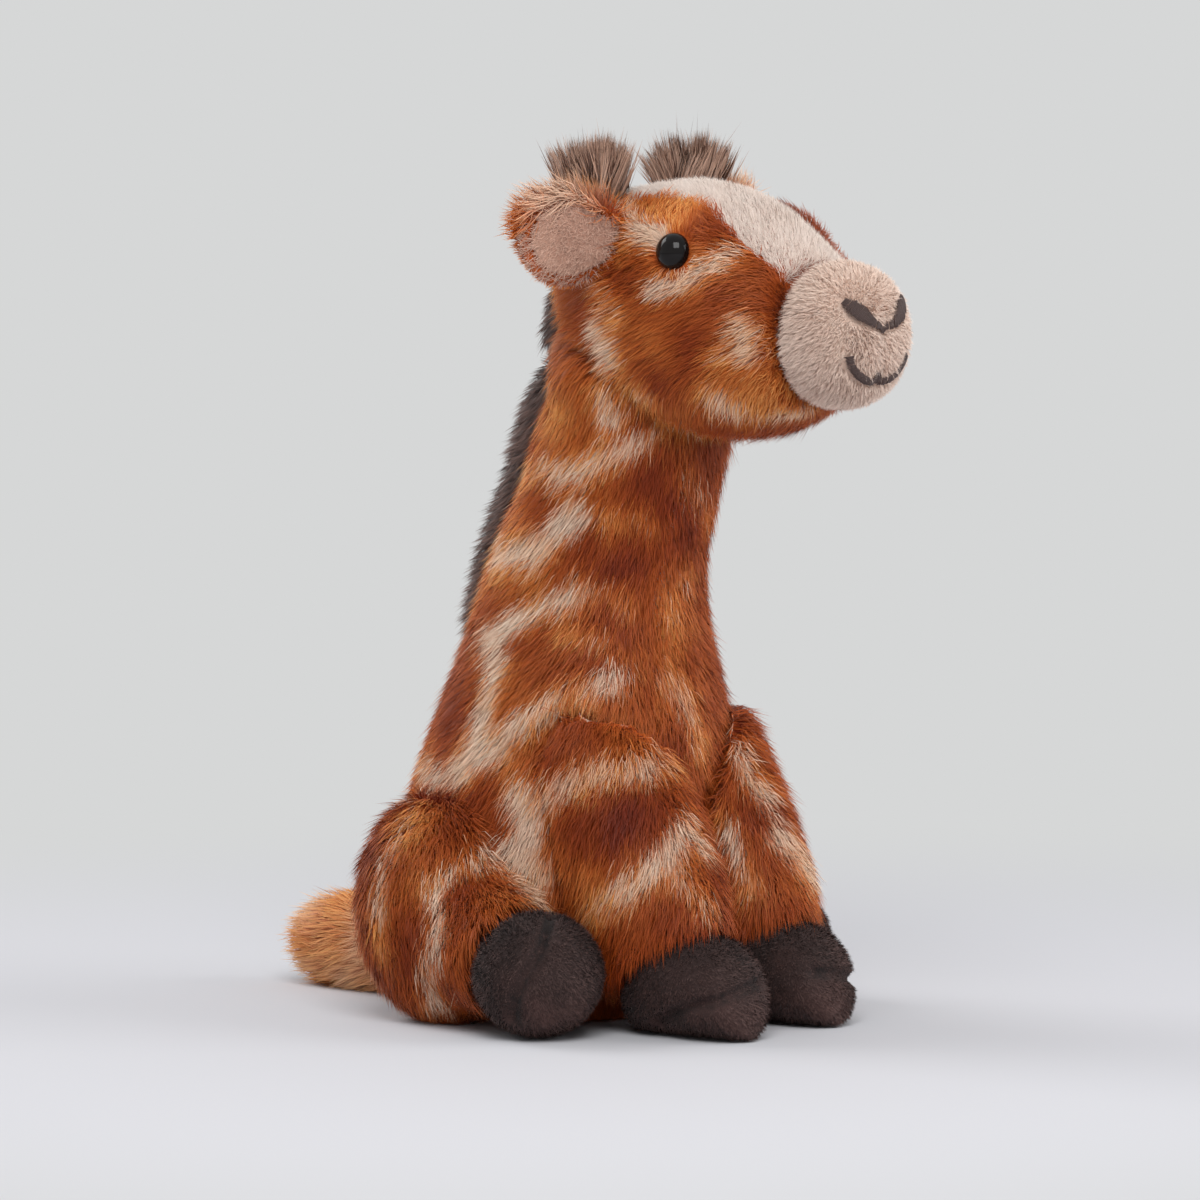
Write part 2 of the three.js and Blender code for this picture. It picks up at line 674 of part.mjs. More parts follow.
/** The middle of one haunch. */
const haunchMiddle = (side) => point(
  side * torso.width * haunchPlaceShare, haunch.setback, haunchMiddleHeight,
);

/** The middle of one hind foot. */
const footMiddle = (side) => point(
  side * (torso.width * haunchPlaceShare + hindFoot.outward), haunch.setback - hindFoot.beforeHaunch,
  footMiddleHeight,
);

/** One round hind foot, grown by an allowance. */
function hindFootForm(side, allowance) {
  const across = hindFoot.diameter / 2 + allowance;
  const high = hindFoot.height / 2 + allowance;
  return ellipsoid(footMiddle(side), across, across, high, limbAround);
}

/** One hind foot on the floor, which gives way to the flank and to the front leg beside it. */
function hindFootPiece(side) {
  return onFloor(hindFootForm(side, 0).subtract(torsoClear).subtract(frontLegForm(side, flexGap)));
}

/** One hind leg: the haunch and the shin that runs forward to the foot. */
function hindLegForm(side) {
  const middle = haunchMiddle(side);
  const body = ellipsoid(middle, haunch.width / 2, haunch.depth / 2, haunch.height / 2, limbAround);
  const stations = shinShares.map((s) => ({
    at: middle.clone().lerp(footMiddle(side), s.along),
    wide: shin.width * s.size,
    deep: shin.width * s.size,
    power: 2,
  }));
  return body.add(loft(stations, { steps: trimSteps, around: limbAround }));
}

/** The hinge of one hip, on the seam at the back of the haunch. */
const hipHinge = (side) => point(
  side * torso.width * splayHingeShares.width, torso.seatSetback + torso.depth * splayHingeShares.depth, 0,
);

/** One hind leg, seated on the flank and over its foot, clear of the front leg. */
function hindLegPiece(side) {
  const turns = [0, 0.5, 1].map((share) => side * legSplayTurn.outward * share);
  const seated = clearOf(hindLegForm(side), torsoClear, hipHinge(side), up, turns);
  const fitted = seated.subtract(hindFootForm(side, seamGap)).subtract(frontLegForm(side, flexGap));
  return mainBody(onFloor(fitted));
}

// Tail
const tailShares = [
  { length: 0, size: 0.33 },
  { length: 0.2, size: 0.46 },
  { length: 0.5, size: 0.5 },
  { length: 0.8, size: 0.45 },
  { length: 0.95, size: 0.31 },
  { length: 1, size: 0.14 },
];
const wagHinge = point(0, torso.seatSetback + torso.depth * tailRootShare, 0);

/** The tail, resting on the floor behind the seat. */
function tailPiece() {
  const stations = tailShares.map((s) => ({
    at: point(0, wagHinge.y + tail.length * s.length, tail.width / 2 - floorCut),
    wide: tail.width * s.size,
    deep: tail.width * s.size,
    power: 2,
  }));
  const form = loft(stations, { across: point(0, 1, 0), steps: limbSteps, around: limbAround });
  const turns = [-1, -0.5, 0, 0.5, 1].map((share) => tailWagTurn.each * share);
  return mainBody(onFloor(clearOf(form, torsoClear, wagHinge, up, turns)));
}

// Materials
/** A matte fabric of a colour. */
const fabric = (color) => new THREE.MeshStandardMaterial({ color, roughness: 0.95, metalness: 0 });
const coat = fabric(0xa5642f);
const minky = fabric(0xcbb4a4);
const earPlush = fabric(0xb9968c);
const brownPlush = fabric(0x3b2c2a);
const brownPile = fabric(0x503e3c);
const embroidery = fabric(0x33241f);
const cotton = fabric(0xd8d2c4);
const filling = fabric(0xf2f0ea);
const eyeGloss = new THREE.MeshStandardMaterial({ color: 0x0b0a0c, roughness: 0.08, metalness: 0 });
const washerPlastic = new THREE.MeshStandardMaterial({ color: 0xe4e2dc, roughness: 0.4, metalness: 0 });

// Assembly
const giraffe = new THREE.Group();

/** Adds one piece to a group as a named mesh. */
function put(group, name, shape, material) {
  const mesh = new THREE.Mesh(geometryOf(shape), material);
  mesh.name = name;
  group.add(mesh);
}

const headGroup = new THREE.Group();
giraffe.add(headGroup);
put(giraffe, "torso_skin", torsoSkin, coat);
put(giraffe, "torso_filling", mainBody(torsoFilling), filling);
put(giraffe, "pellet_bag", bagForm(0), cotton);
put(giraffe, "mane_neck", maneNeck, brownPile);
put(giraffe, "tail", tailPiece(), coat);
put(headGroup, "head_skin", mainBody(headSkin), coat);
put(headGroup, "head_filling", mainBody(headFilling), filling);
put(headGroup, "muzzle", muzzleCap, minky);
put(headGroup, "mouth_stitch", mouthStitch, embroidery);
put(headGroup, "mane_nape", maneNape, brownPile);
for (const [label, side] of [["left", left], ["right", right]]) {
  put(headGroup, "eye_" + label, eyes[side], eyeGloss);
  put(headGroup, "eye_washer_" + label, eyeWashers[side], washerPlastic);
  put(headGroup, "nostril_" + label, nostrilPatch(side).subtract(muzzleClear), embroidery);
  put(headGroup, "tuft_" + label, tuftForm(side), brownPile);
  put(headGroup, "ear_" + label, earPiece(side), coat);
  put(headGroup, "ear_lining_" + label, liningPiece(side), earPlush);
  put(giraffe, "front_leg_" + label, frontLegPiece(side), coat);
  put(giraffe, "front_hoof_" + label, onFloor(frontHoofForm(side, 0)), brownPlush);
  put(giraffe, "hind_leg_" + label, hindLegPiece(side), coat);
  put(giraffe, "hind_foot_" + label, hindFootPiece(side), brownPlush);
}

export default giraffe;
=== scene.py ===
"""Plush giraffe, seated: stuffed cloth skins, a patterned long-pile coat, short-pile muzzle and hooves,
coarse tufts and mane, embroidered nose and mouth, and glossy safety eyes."""

from __future__ import annotations

import json
import logging
import math
from collections.abc import Callable, Iterator
from contextlib import contextmanager
from dataclasses import dataclass, field
from enum import Enum
from functools import cached_property

import bpy
import numpy as np
from mathutils import Matrix, Vector
from mathutils.bvhtree import BVHTree
from mathutils.kdtree import KDTree

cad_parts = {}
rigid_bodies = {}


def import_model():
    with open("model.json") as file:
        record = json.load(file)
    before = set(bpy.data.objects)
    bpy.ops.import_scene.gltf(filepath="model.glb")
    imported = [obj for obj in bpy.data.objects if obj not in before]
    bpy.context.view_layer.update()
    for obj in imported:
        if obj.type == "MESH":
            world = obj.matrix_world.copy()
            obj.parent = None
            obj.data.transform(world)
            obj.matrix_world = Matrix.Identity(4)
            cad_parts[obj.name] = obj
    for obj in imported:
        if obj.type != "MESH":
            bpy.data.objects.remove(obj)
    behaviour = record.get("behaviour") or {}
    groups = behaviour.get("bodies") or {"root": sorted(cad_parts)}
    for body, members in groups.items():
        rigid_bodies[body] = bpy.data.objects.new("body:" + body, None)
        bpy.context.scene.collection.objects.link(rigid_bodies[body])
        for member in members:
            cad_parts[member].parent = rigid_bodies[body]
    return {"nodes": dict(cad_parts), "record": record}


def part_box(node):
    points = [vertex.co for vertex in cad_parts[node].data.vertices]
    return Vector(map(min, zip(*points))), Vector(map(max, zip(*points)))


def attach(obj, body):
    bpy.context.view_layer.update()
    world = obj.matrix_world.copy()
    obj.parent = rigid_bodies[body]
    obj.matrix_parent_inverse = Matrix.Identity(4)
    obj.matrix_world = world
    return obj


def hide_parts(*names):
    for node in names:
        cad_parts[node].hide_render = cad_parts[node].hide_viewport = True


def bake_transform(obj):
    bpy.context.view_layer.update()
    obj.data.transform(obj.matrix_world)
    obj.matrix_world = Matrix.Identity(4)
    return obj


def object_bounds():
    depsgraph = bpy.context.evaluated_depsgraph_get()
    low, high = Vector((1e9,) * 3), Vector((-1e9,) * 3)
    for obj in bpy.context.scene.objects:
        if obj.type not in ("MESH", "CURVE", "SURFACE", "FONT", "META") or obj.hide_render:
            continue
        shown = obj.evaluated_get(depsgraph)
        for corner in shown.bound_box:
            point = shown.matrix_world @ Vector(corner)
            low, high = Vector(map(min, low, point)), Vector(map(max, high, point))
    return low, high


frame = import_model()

CAD_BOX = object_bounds()
LOG = logging.getLogger("giraffe")
MM = 0.001
STRANDS_PER_PIECE = 60000
Points = np.ndarray
Field = Callable[[Points, Points], Points]
Line = list[tuple[Points, float]]
Trace = tuple[tuple[int, int], ...]
NodeSocket = bpy.types.NodeSocket
Input = "NodeSocket | Value | float | tuple"


class Side(Enum):
    """The giraffe's own two sides."""

    LEFT = 1
    RIGHT = -1

    @property
    def label(self) -> str:
        """The word that a piece's name has for this side."""
        return self.name.lower()


class Fabric(Enum):
    """The record's material slots, one named for each fabric of the pieces made here."""

    COAT = "coat"
    MINKY = "minky"
    EAR_PLUSH = "ear_plush"
    BROWN_PLUSH = "brown_plush"
    BROWN_PILE = "brown_pile"
    THREAD = "embroidery"
    EYE = "eye_plastic"


def linear(red: int, green: int, blue: int) -> tuple[float, float, float, float]:
    """Turns a colour of the screen into a linear one.

    Args:
        red: Red, from 0 to 255.
        green: Green, from 0 to 255.
        blue: Blue, from 0 to 255.

    Returns:
        The linear colour with its alpha.
    """
    shares = (value / 255 for value in (red, green, blue))
    return (*(s / 12.92 if s <= 0.04045 else ((s + 0.055) / 1.055) ** 2.4 for s in shares), 1.0)


def smooth(low: float, high: float, value: Points) -> Points:
    """A soft step of an array.

    Args:
        low: Where the step starts, at 0.
        high: Where it ends, at 1. It may be below low, for a step down.
        value: The values to step.

    Returns:
        The steps, from 0 to 1.
    """
    share = np.clip((value - low) / (high - low), 0, 1)
    return share * share * (3 - 2 * share)


def unit(vectors: Points) -> Points:
    """The same directions at length one."""
    return vectors / np.maximum(np.linalg.norm(vectors, axis=-1, keepdims=True), 1e-12)


def off_line(points: Points, start: Points, end: Points) -> tuple[Points, Points]:
    """Where points lie beside a stretch of line.

    Args:
        points: The places.
        start: The stretch's start.
        end: Its end.

    Returns:
        How far along the stretch each place is, from 0 to 1, and the way to it from there.
    """
    line, off = end - start, points - start
    share = np.clip(off @ line / max(line @ line, 1e-12), 0, 1)
    return share, off - share[:, None] * line


def operator(operation: str, swapped: bool = False) -> Callable[[Value, Input], Value]:
    """Makes an operator of a number socket.

    Args:
        operation: The Math node's operation.
        swapped: Whether it is the reflected form, which has the other term first.

    Returns:
        The operator, which adds its Math node.
    """

    def operate(value: Value, other: Input) -> Value:
        """Adds the node and wraps its output."""
        terms = (other, value) if swapped else (value, other)
        node = value.shader.add("Math", dict(enumerate(terms)), operation=operation)
        return Value(value.shader, node.outputs[0])

    return operate


@dataclass
class Value:
    """A number socket of a shader's node that takes part in Python arithmetic."""

    shader: Shader
    socket: NodeSocket

    __add__ = __radd__ = operator("ADD")
    __mul__ = __rmul__ = operator("MULTIPLY")
    __sub__, __rsub__ = operator("SUBTRACT"), operator("SUBTRACT", swapped=True)
    __pow__, __rpow__ = operator("POWER"), operator("POWER", swapped=True)


class Shader:
    """The node tree of a material or of the world, with one method that makes any node."""

    def __init__(self, name: str, world: bool = False) -> None:
        """Starts an empty tree.

        Args:
            name: The material's name, or the world's.
            world: Whether it is the world's.
        """
        self.owner = (bpy.data.worlds if world else bpy.data.materials).new(name)
        self.owner.use_nodes = True
        self.owner.node_tree.nodes.clear()

    def add(self, kind: str, inputs: dict | None = None, **settings: object) -> bpy.types.Node:
        """Makes a node.

        Args:
            kind: The node's type without its ShaderNode prefix.
            inputs: Its sockets by name or number, with their values or links.
            settings: The node's own settings.

        Returns:
            The node.
        """
        tree = self.owner.node_tree
        node = tree.nodes.new("ShaderNode" + kind)
        for key, value in settings.items():
            setattr(node, key, value)
        for key, value in (inputs or {}).items():
            source = value.socket if isinstance(value, Value) else value
            if isinstance(source, NodeSocket):
                tree.links.new(source, node.inputs[key])
            else:
                node.inputs[key].default_value = source
        return node

    def attribute(self, name: str) -> Value:
        """A number that the mesh carries on its points."""
        node = self.add("Attribute", attribute_type="GEOMETRY", attribute_name=name)
        return Value(self, node.outputs["Fac"])

    def place(self) -> NodeSocket:
        """The point's place on the piece."""
        return self.add("TexCoord").outputs["Object"]

    def noise(self, scale: float, detail: float = 2.0, rough: float = 0.5) -> Value:
        """Smooth noise on the piece.

        Args:
            scale: How fine it is, in waves to the metre.
            detail: Its octaves.
            rough: How strong the finer octaves are.

        Returns:
            The noise, from 0 to 1.
        """
        inputs = {"Vector": self.place(), "Scale": scale, "Detail": detail, "Roughness": rough}
        return Value(self, self.add("TexNoise", inputs).outputs["Fac"])

    def mix(self, share: Input, low: Input, high: Input) -> NodeSocket:
        """Mixes two colours.

        Args:
            share: How much of the second is taken.
            low: The first colour.
            high: The second colour.

        Returns:
            The mixed colour.
        """
        inputs = {0: share, 6: low, 7: high}
        return self.add("Mix", inputs, data_type="RGBA", clamp_factor=True).outputs[2]

    def scaled(self, colour: Input, share: Input) -> NodeSocket:
        """The colour made darker or lighter by a number."""
        return self.add("VectorMath", {0: colour, "Scale": share}, operation="SCALE").outputs[0]

    def bump(self, height: Value, distance: float) -> NodeSocket:
        """Normals bent by a height, of which 1 is the distance in metres."""
        return self.add("Bump", {"Height": height, "Distance": distance}).outputs["Normal"]

    def finish(self, **sockets: Input) -> bpy.types.Material:
        """Ends the material in a Principled shader.

        Args:
            sockets: The shader's sockets, with _ for a space.

        Returns:
            The material.
        """
        named = {key.replace("_", " "): value for key, value in sockets.items()}
        shader = self.add("BsdfPrincipled", named)
        self.add("OutputMaterial", {"Surface": shader.outputs[0]})
        return self.owner

    def knitted(self, colour: Input, shade: float, stitches: float, relief: float) -> bpy.types.Material:
        """Ends the material of a knitted cloth that a pile stands on.

        Args:
            colour: The cloth's colour.
            shade: How bright it is under the pile: painted shade from the pile above it.
            stitches: How fine the knit is, in waves to the metre.
            relief: How deep it is, in metres.

        Returns:
            The material.
        """
        knit = self.noise(stitches, 3)
        # Painted shade: the cloth is darkened as if shaded by its pile, and mottled by the knit.
        colour = self.scaled(colour, shade * (knit * 0.5 + 0.75))
        return self.finish(Base_Color=colour, Roughness=0.95, Normal=self.bump(knit, relief))


class Finish:
    """What a plush fabric is dressed in: the material of its strands and that of its cloth."""

    name: str

    @cached_property
    def strands(self) -> bpy.types.Material:
        """The material of the strands."""
        return self.material(Shader(self.name + "_pile"), cloth=False)

    @cached_property
    def cloth(self) -> bpy.types.Material:
        """The material of the cloth that they stand on."""
        return self.material(Shader(self.name + "_cloth"), cloth=True)

    def material(self, shader: Shader, cloth: bool) -> bpy.types.Material:
        """Builds the material of the strands, or of the cloth, which has no tips.

        Args:
            shader: The material's empty tree.
            cloth: Whether it is the cloth.

        Returns:
            The material.
        """
        raise NotImplementedError


@dataclass(frozen=True)
class CoatFinish(Finish):
    """The long pile of the coat: rust patches, pale lines between them, golden tips and painted shade at the
    roots.
    """

    name: str = "coat"
    rust: tuple = linear(126, 40, 5)
    orange: tuple = linear(218, 100, 18)
    gold: tuple = linear(255, 202, 118)
    cream: tuple = linear(246, 222, 198)
    # How bright a strand's root is: painted shade, darker deep in the pile; the cloth under the pile takes it
    # too.
    root_shade: float = 0.74
    tint_spread: float = 0.22
    gold_share: float = 0.9

    def material(self, shader: Shader, cloth: bool) -> bpy.types.Material:
        """Builds the material of the strands, or of the cloth. See Finish."""
        tone, pale = shader.attribute("tone"), shader.attribute("pale")
        colour = shader.mix(tone, self.rust, self.orange)
        if cloth:
            # Painted shade: the cloth under the pile is darker, as the roots are.
            return shader.knitted(shader.mix(pale, colour, self.cream), self.root_shade, 900, 0.6 * MM)
        along, chance = shader.attribute("along"), shader.attribute("chance")
        colour = shader.mix(along * along * tone * tone * tone * self.gold_share, colour, self.gold)
        colour = shader.mix(pale, colour, self.cream)
        # Painted shade: each strand darkens towards its root, deep in the pile.
        colour = shader.scaled(colour, self.root_shade + (1 - self.root_shade) * along**0.7)
        colour = shader.scaled(colour, 1 - self.tint_spread / 2 + self.tint_spread * chance)
        return shader.finish(Base_Color=colour, Roughness=0.5, Specular_IOR_Level=0.22, Sheen_Weight=0.06)


@dataclass(frozen=True)
class PileFinish(Finish):
    """A pile of one colour, short or coarse, with painted shade that darkens its roots, and its own spread of
    tints.
    """

    name: str
    dark: tuple
    light: tuple
    tip: tuple
    # How bright a strand's root and the cloth under it are: painted shade deep in the pile.
    root_shade: float = 0.6
    roughness: float = 0.6
    sheen: float = 0.2
    tip_share: float = 0.2
    tip_spread: float = 0.6
    tint_spread: float = 0.28

    def material(self, shader: Shader, cloth: bool) -> bpy.types.Material:
        """Builds the material of the strands, or of the cloth. See Finish."""
        colour = shader.mix(shader.attribute("tone"), self.dark, self.light)
        if cloth:
            # Painted shade: the cloth under the pile is darker, as the roots are.
            return shader.knitted(colour, self.root_shade, 1400, 0.5 * MM)
        along, chance = shader.attribute("along"), shader.attribute("chance")
        colour = shader.mix(along * (chance * self.tip_spread + self.tip_share), colour, self.tip)
        # Painted shade: each strand darkens towards its root.
        colour = shader.scaled(colour, self.root_shade + (1 - self.root_shade) * along)
        colour = shader.scaled(colour, 1 - self.tint_spread / 2 + self.tint_spread * chance)
        return shader.finish(
            Base_Color=colour, Roughness=self.roughness, Specular_IOR_Level=0.3, Sheen_Weight=self.sheen
        )


@dataclass(frozen=True)
class EyeFinish:
    """Black moulded plastic, polished."""

    black: tuple = linear(9, 8, 9)
    rim: tuple = linear(22, 16, 15)

    @cached_property
    def dyed(self) -> bpy.types.Material:
        """The material."""
        shader = Shader("eye_gloss")
        wear = shader.noise(2600, 4)
        colour = shader.mix(shader.noise(320, 2), self.black, self.rim)
        gloss = 0.05 + wear * 0.06
        return shader.finish(Base_Color=colour, Roughness=gloss, Specular_IOR_Level=0.3, IOR=1.42)


@dataclass(frozen=True)
class GrainFinish:
    """A finish whose tints, relief and gloss follow one grain: thread, filling, cotton or moulded plastic."""

    name: str
    low: tuple
    high: tuple
    scale: float
    relief: float
    roughness: float
    detail: float = 5
    matting: float = 0.0

    @cached_property
    def dyed(self) -> bpy.types.Material:
        """The material."""
        shader = Shader(self.name)
        grain = shader.noise(self.scale, self.detail, 0.6)
        roughness = self.roughness + grain * self.matting if self.matting else self.roughness
        normal = shader.bump(grain, self.relief)
        colour = shader.mix(grain, self.low, self.high)
        return shader.finish(Base_Color=colour, Roughness=roughness, Normal=normal)


COAT = CoatFinish()
MINKY = PileFinish("minky", linear(212, 174, 154), linear(240, 212, 194), linear(250, 232, 218), 0.86)
BLAZE = PileFinish("blaze", linear(224, 200, 185), linear(236, 219, 208), linear(242, 231, 222), 0.93)
LINING = PileFinish("lining", linear(158, 104, 84), linear(226, 178, 154), linear(236, 202, 182), 0.7)
HOOF = PileFinish("hoof", linear(34, 21, 20), linear(104, 73, 68), linear(126, 96, 90), 0.55, sheen=0.05)
COARSE = PileFinish("coarse", linear(78, 54, 44), linear(160, 118, 98), linear(206, 166, 142), roughness=0.42)
MANE = PileFinish("mane", linear(58, 40, 36), linear(116, 88, 80), linear(146, 116, 106), roughness=0.5)
EYE = EyeFinish()
THREAD = GrainFinish(
    "thread_twist", linear(28, 17, 15), linear(84, 58, 52), 2300, 0.2 * MM, 0.42, detail=3, matting=0.2
)
INSIDE = {
    GrainFinish("fibre_filling", linear(226, 222, 212), linear(248, 246, 240), 420, 1.5 * MM, 0.95): (
        "torso_filling", "head_filling",
    ),
    GrainFinish("bag_cotton", linear(206, 196, 176), linear(228, 220, 204), 1500, 0.4 * MM, 0.9): (
        "pellet_bag",
    ),
    GrainFinish("washer_plastic", linear(224, 222, 216), linear(238, 236, 230), 300, 0.2 * MM, 0.4): (
        "eye_washer_left", "eye_washer_right",
    ),
}


def deselect() -> None:
    """Leaves nothing selected, so that an operator acts on its own piece alone."""
    if bpy.context.mode != "OBJECT":
        bpy.ops.object.mode_set(mode="OBJECT")
    bpy.ops.object.select_all(action="DESELECT")


def choose(*pieces: bpy.types.Object) -> None:
    """Selects some objects alone and makes the first of them active."""
    deselect()
    for piece in pieces:
        piece.select_set(True)
    bpy.context.view_layer.objects.active = pieces[0]


@contextmanager
def editing(piece: bpy.types.Object, marked: Points | None = None, kind: str = "VERT") -> Iterator[None]:
    """Edit mode on one object, for as long as the with block lasts.

    Args:
        piece: The mesh object.
        marked: Which of its points or faces are selected, or nothing for all of them.
        kind: What is selected: VERT, or FACE.

    Yields:
        Nothing.
    """
    choose(piece)
    bpy.ops.object.mode_set(mode="EDIT")
    bpy.ops.mesh.select_mode(type=kind)
    bpy.ops.mesh.select_all(action="SELECT" if marked is None else "DESELECT")
    if marked is not None:
        bpy.ops.object.mode_set(mode="OBJECT")
        elements = piece.data.vertices if kind == "VERT" else piece.data.polygons
        elements.foreach_set("select", np.asarray(marked, bool))
        bpy.ops.object.mode_set(mode="EDIT")
    yield
    bpy.ops.object.mode_set(mode="OBJECT")


def add_object(name: str, data: bpy.types.ID) -> bpy.types.Object:
    """Adds an object to the scene, with its mesh, camera or lamp."""
    added = bpy.data.objects.new(name, data)
    bpy.context.scene.collection.objects.link(added)
    return added


def aim(thing: bpy.types.Object, place: Vector, way: Vector) -> None:
    """Sets a camera or a lamp in its place, looking along a way."""
    thing.location = place
    thing.rotation_mode = "QUATERNION"
    thing.rotation_quaternion = way.to_track_quat("-Z", "Y")


def apply_modifier(piece: bpy.types.Object, kind: str, **settings: object) -> None:
    """Adds a modifier and applies it.

    Args:
        piece: The mesh object.
        kind: The modifier's type.
        settings: The modifier's settings.
    """
    choose(piece)
    modifier = piece.modifiers.new(kind.lower(), kind)
    for key, value in settings.items():
        setattr(modifier, key, value)
    bpy.ops.object.modifier_apply(modifier=modifier.name)


def gathered(items: bpy.types.bpy_prop_collection, key: str) -> Points:
    """A vector that each of a mesh's items carries, as rows of an array."""
    found = np.empty(len(items) * 3, np.float32)
    items.foreach_get(key, found)
    return found.reshape(-1, 3).astype(float)


def coordinates(mesh: bpy.types.Mesh) -> Points:
    """The places of a mesh's points."""
    return gathered(mesh.vertices, "co")


def normals(mesh: bpy.types.Mesh) -> Points:
    """The normals at a mesh's points."""
    return gathered(mesh.vertex_normals, "vector")


def set_coordinates(mesh: bpy.types.Mesh, places: Points) -> None:
    """Moves a mesh's points to the given places."""
    mesh.vertices.foreach_set("co", places.astype(np.float32).ravel())
    mesh.update()


def carry(mesh: bpy.types.Mesh, **values: Points) -> None:
    """Stores a number on every point of a mesh.

    Args:
        mesh: The mesh.
        values: The numbers, by attribute name.
    """
    for name, numbers in values.items():
        attribute = mesh.attributes.new(name, "FLOAT", "POINT")
        attribute.data.foreach_set("value", np.asarray(numbers, np.float32))


class Waves:
    """Smooth seeded noise in space."""

    def __init__(self, seed: int, cell: float, side: int = 20) -> None:
        """Draws the lattice.

        Args:
            seed: The noise's seed.
            cell: The lattice's pitch in millimetres.
            side: Its cells a side, after which it repeats.
        """
        self.lattice = np.random.default_rng(seed).random((side, side, side))
        self.cell = cell * MM
        self.side = side

    def __call__(self, points: Points) -> Points:
        """The noise at points.

        Args:
            points: Places in metres.

        Returns:
            A number from -1 to 1 for each.
        """
        scaled = points / self.cell
        low = np.floor(scaled).astype(int)
        share = scaled - low
        share = share * share * (3 - 2 * share)
        total = np.zeros(len(points))
        for corner in np.ndindex(2, 2, 2):
            index = tuple(((low + corner) % self.side).T)
            weight = np.prod(np.where(corner, share, 1 - share), axis=1)
            total += weight * self.lattice[index]
        return total * 2 - 1

    def vectors(self, points: Points) -> Points:
        """Three unlike numbers for each point, as a vector."""
        shifts = (0.0, 0.37, 0.71)
        return np.stack([self(points + shift) for shift in shifts], axis=1)


@dataclass(frozen=True)
class PhotoView:
    """The camera that took the photograph, and what its pixels show."""

    azimuth: float = math.radians(-50)
    elevation: float = math.radians(4.5)
    distance: float = 2.4
    target: tuple[float, float, float] = (0.0, 0.0, 0.1364)
    lens: float = 219.6
    sensor: float = 36.0
    pixels: int = 1200

    @property
    def back(self) -> Vector:
        """The direction from the toy to the camera."""
        flat = math.cos(self.elevation)
        return Vector(
            (math.sin(self.azimuth) * flat, -math.cos(self.azimuth) * flat, math.sin(self.elevation))
        )

    @property
    def eye(self) -> Vector:
        """Where the camera stands."""
        return Vector(self.target) + self.back * self.distance

    def ray(self, column: float, row: float) -> Vector:
        """The direction that a pixel looks in.

        Args:
            column: Pixels from the photograph's left edge.
            row: Pixels from its top edge.

        Returns:
            The direction.
        """
        ahead = -self.back
        right = ahead.cross(Vector((0, 0, 1))).normalized()
        above = right.cross(ahead)
        reach = self.pixels * self.lens / self.sensor
        middle = self.pixels / 2
        return (ahead * reach + right * (column - middle) + above * (middle - row)).normalized()

    def camera(self) -> None:
        """Places the scene's camera."""
        data = bpy.data.cameras.new("photo_camera")
        data.lens, data.sensor_width = self.lens, self.sensor
        camera = add_object(data.name, data)
        aim(camera, self.eye, -self.back)
        bpy.context.scene.camera = camera


def middle_of(node: str) -> Points:
    """The middle of a solid's box."""
    low, high = (np.array(corner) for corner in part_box(node))
    return (low + high) / 2


def tree_of(*meshes: bpy.types.Mesh) -> BVHTree:
    """A search tree of the faces of several meshes."""
    places: list[Vector] = []
    faces: list[list[int]] = []
    for mesh in meshes:
        start = len(places)
        places += [v.co.copy() for v in mesh.vertices]
        faces += [[start + i for i in p.vertices] for p in mesh.polygons]
    return BVHTree.FromPolygons(places, faces)


@dataclass(frozen=True)
class Streak:
    """A pale line of the coat, traced on the photograph as pixels, with its width in millimetres."""

    name: str
    width: float
    trace: Trace
    strength: float = 1.0


@dataclass(frozen=True)
class Shade:
    """A deep rust place of the coat, or a golden one where its depth is negative, found on the photograph,
    with its reach in millimetres. Three hold painted light: shade round the eye and in the throat's crease,
    and light on the brow."""

    name: str
    reach: float
    pixel: tuple[int, int]
    depth: float = 1.0


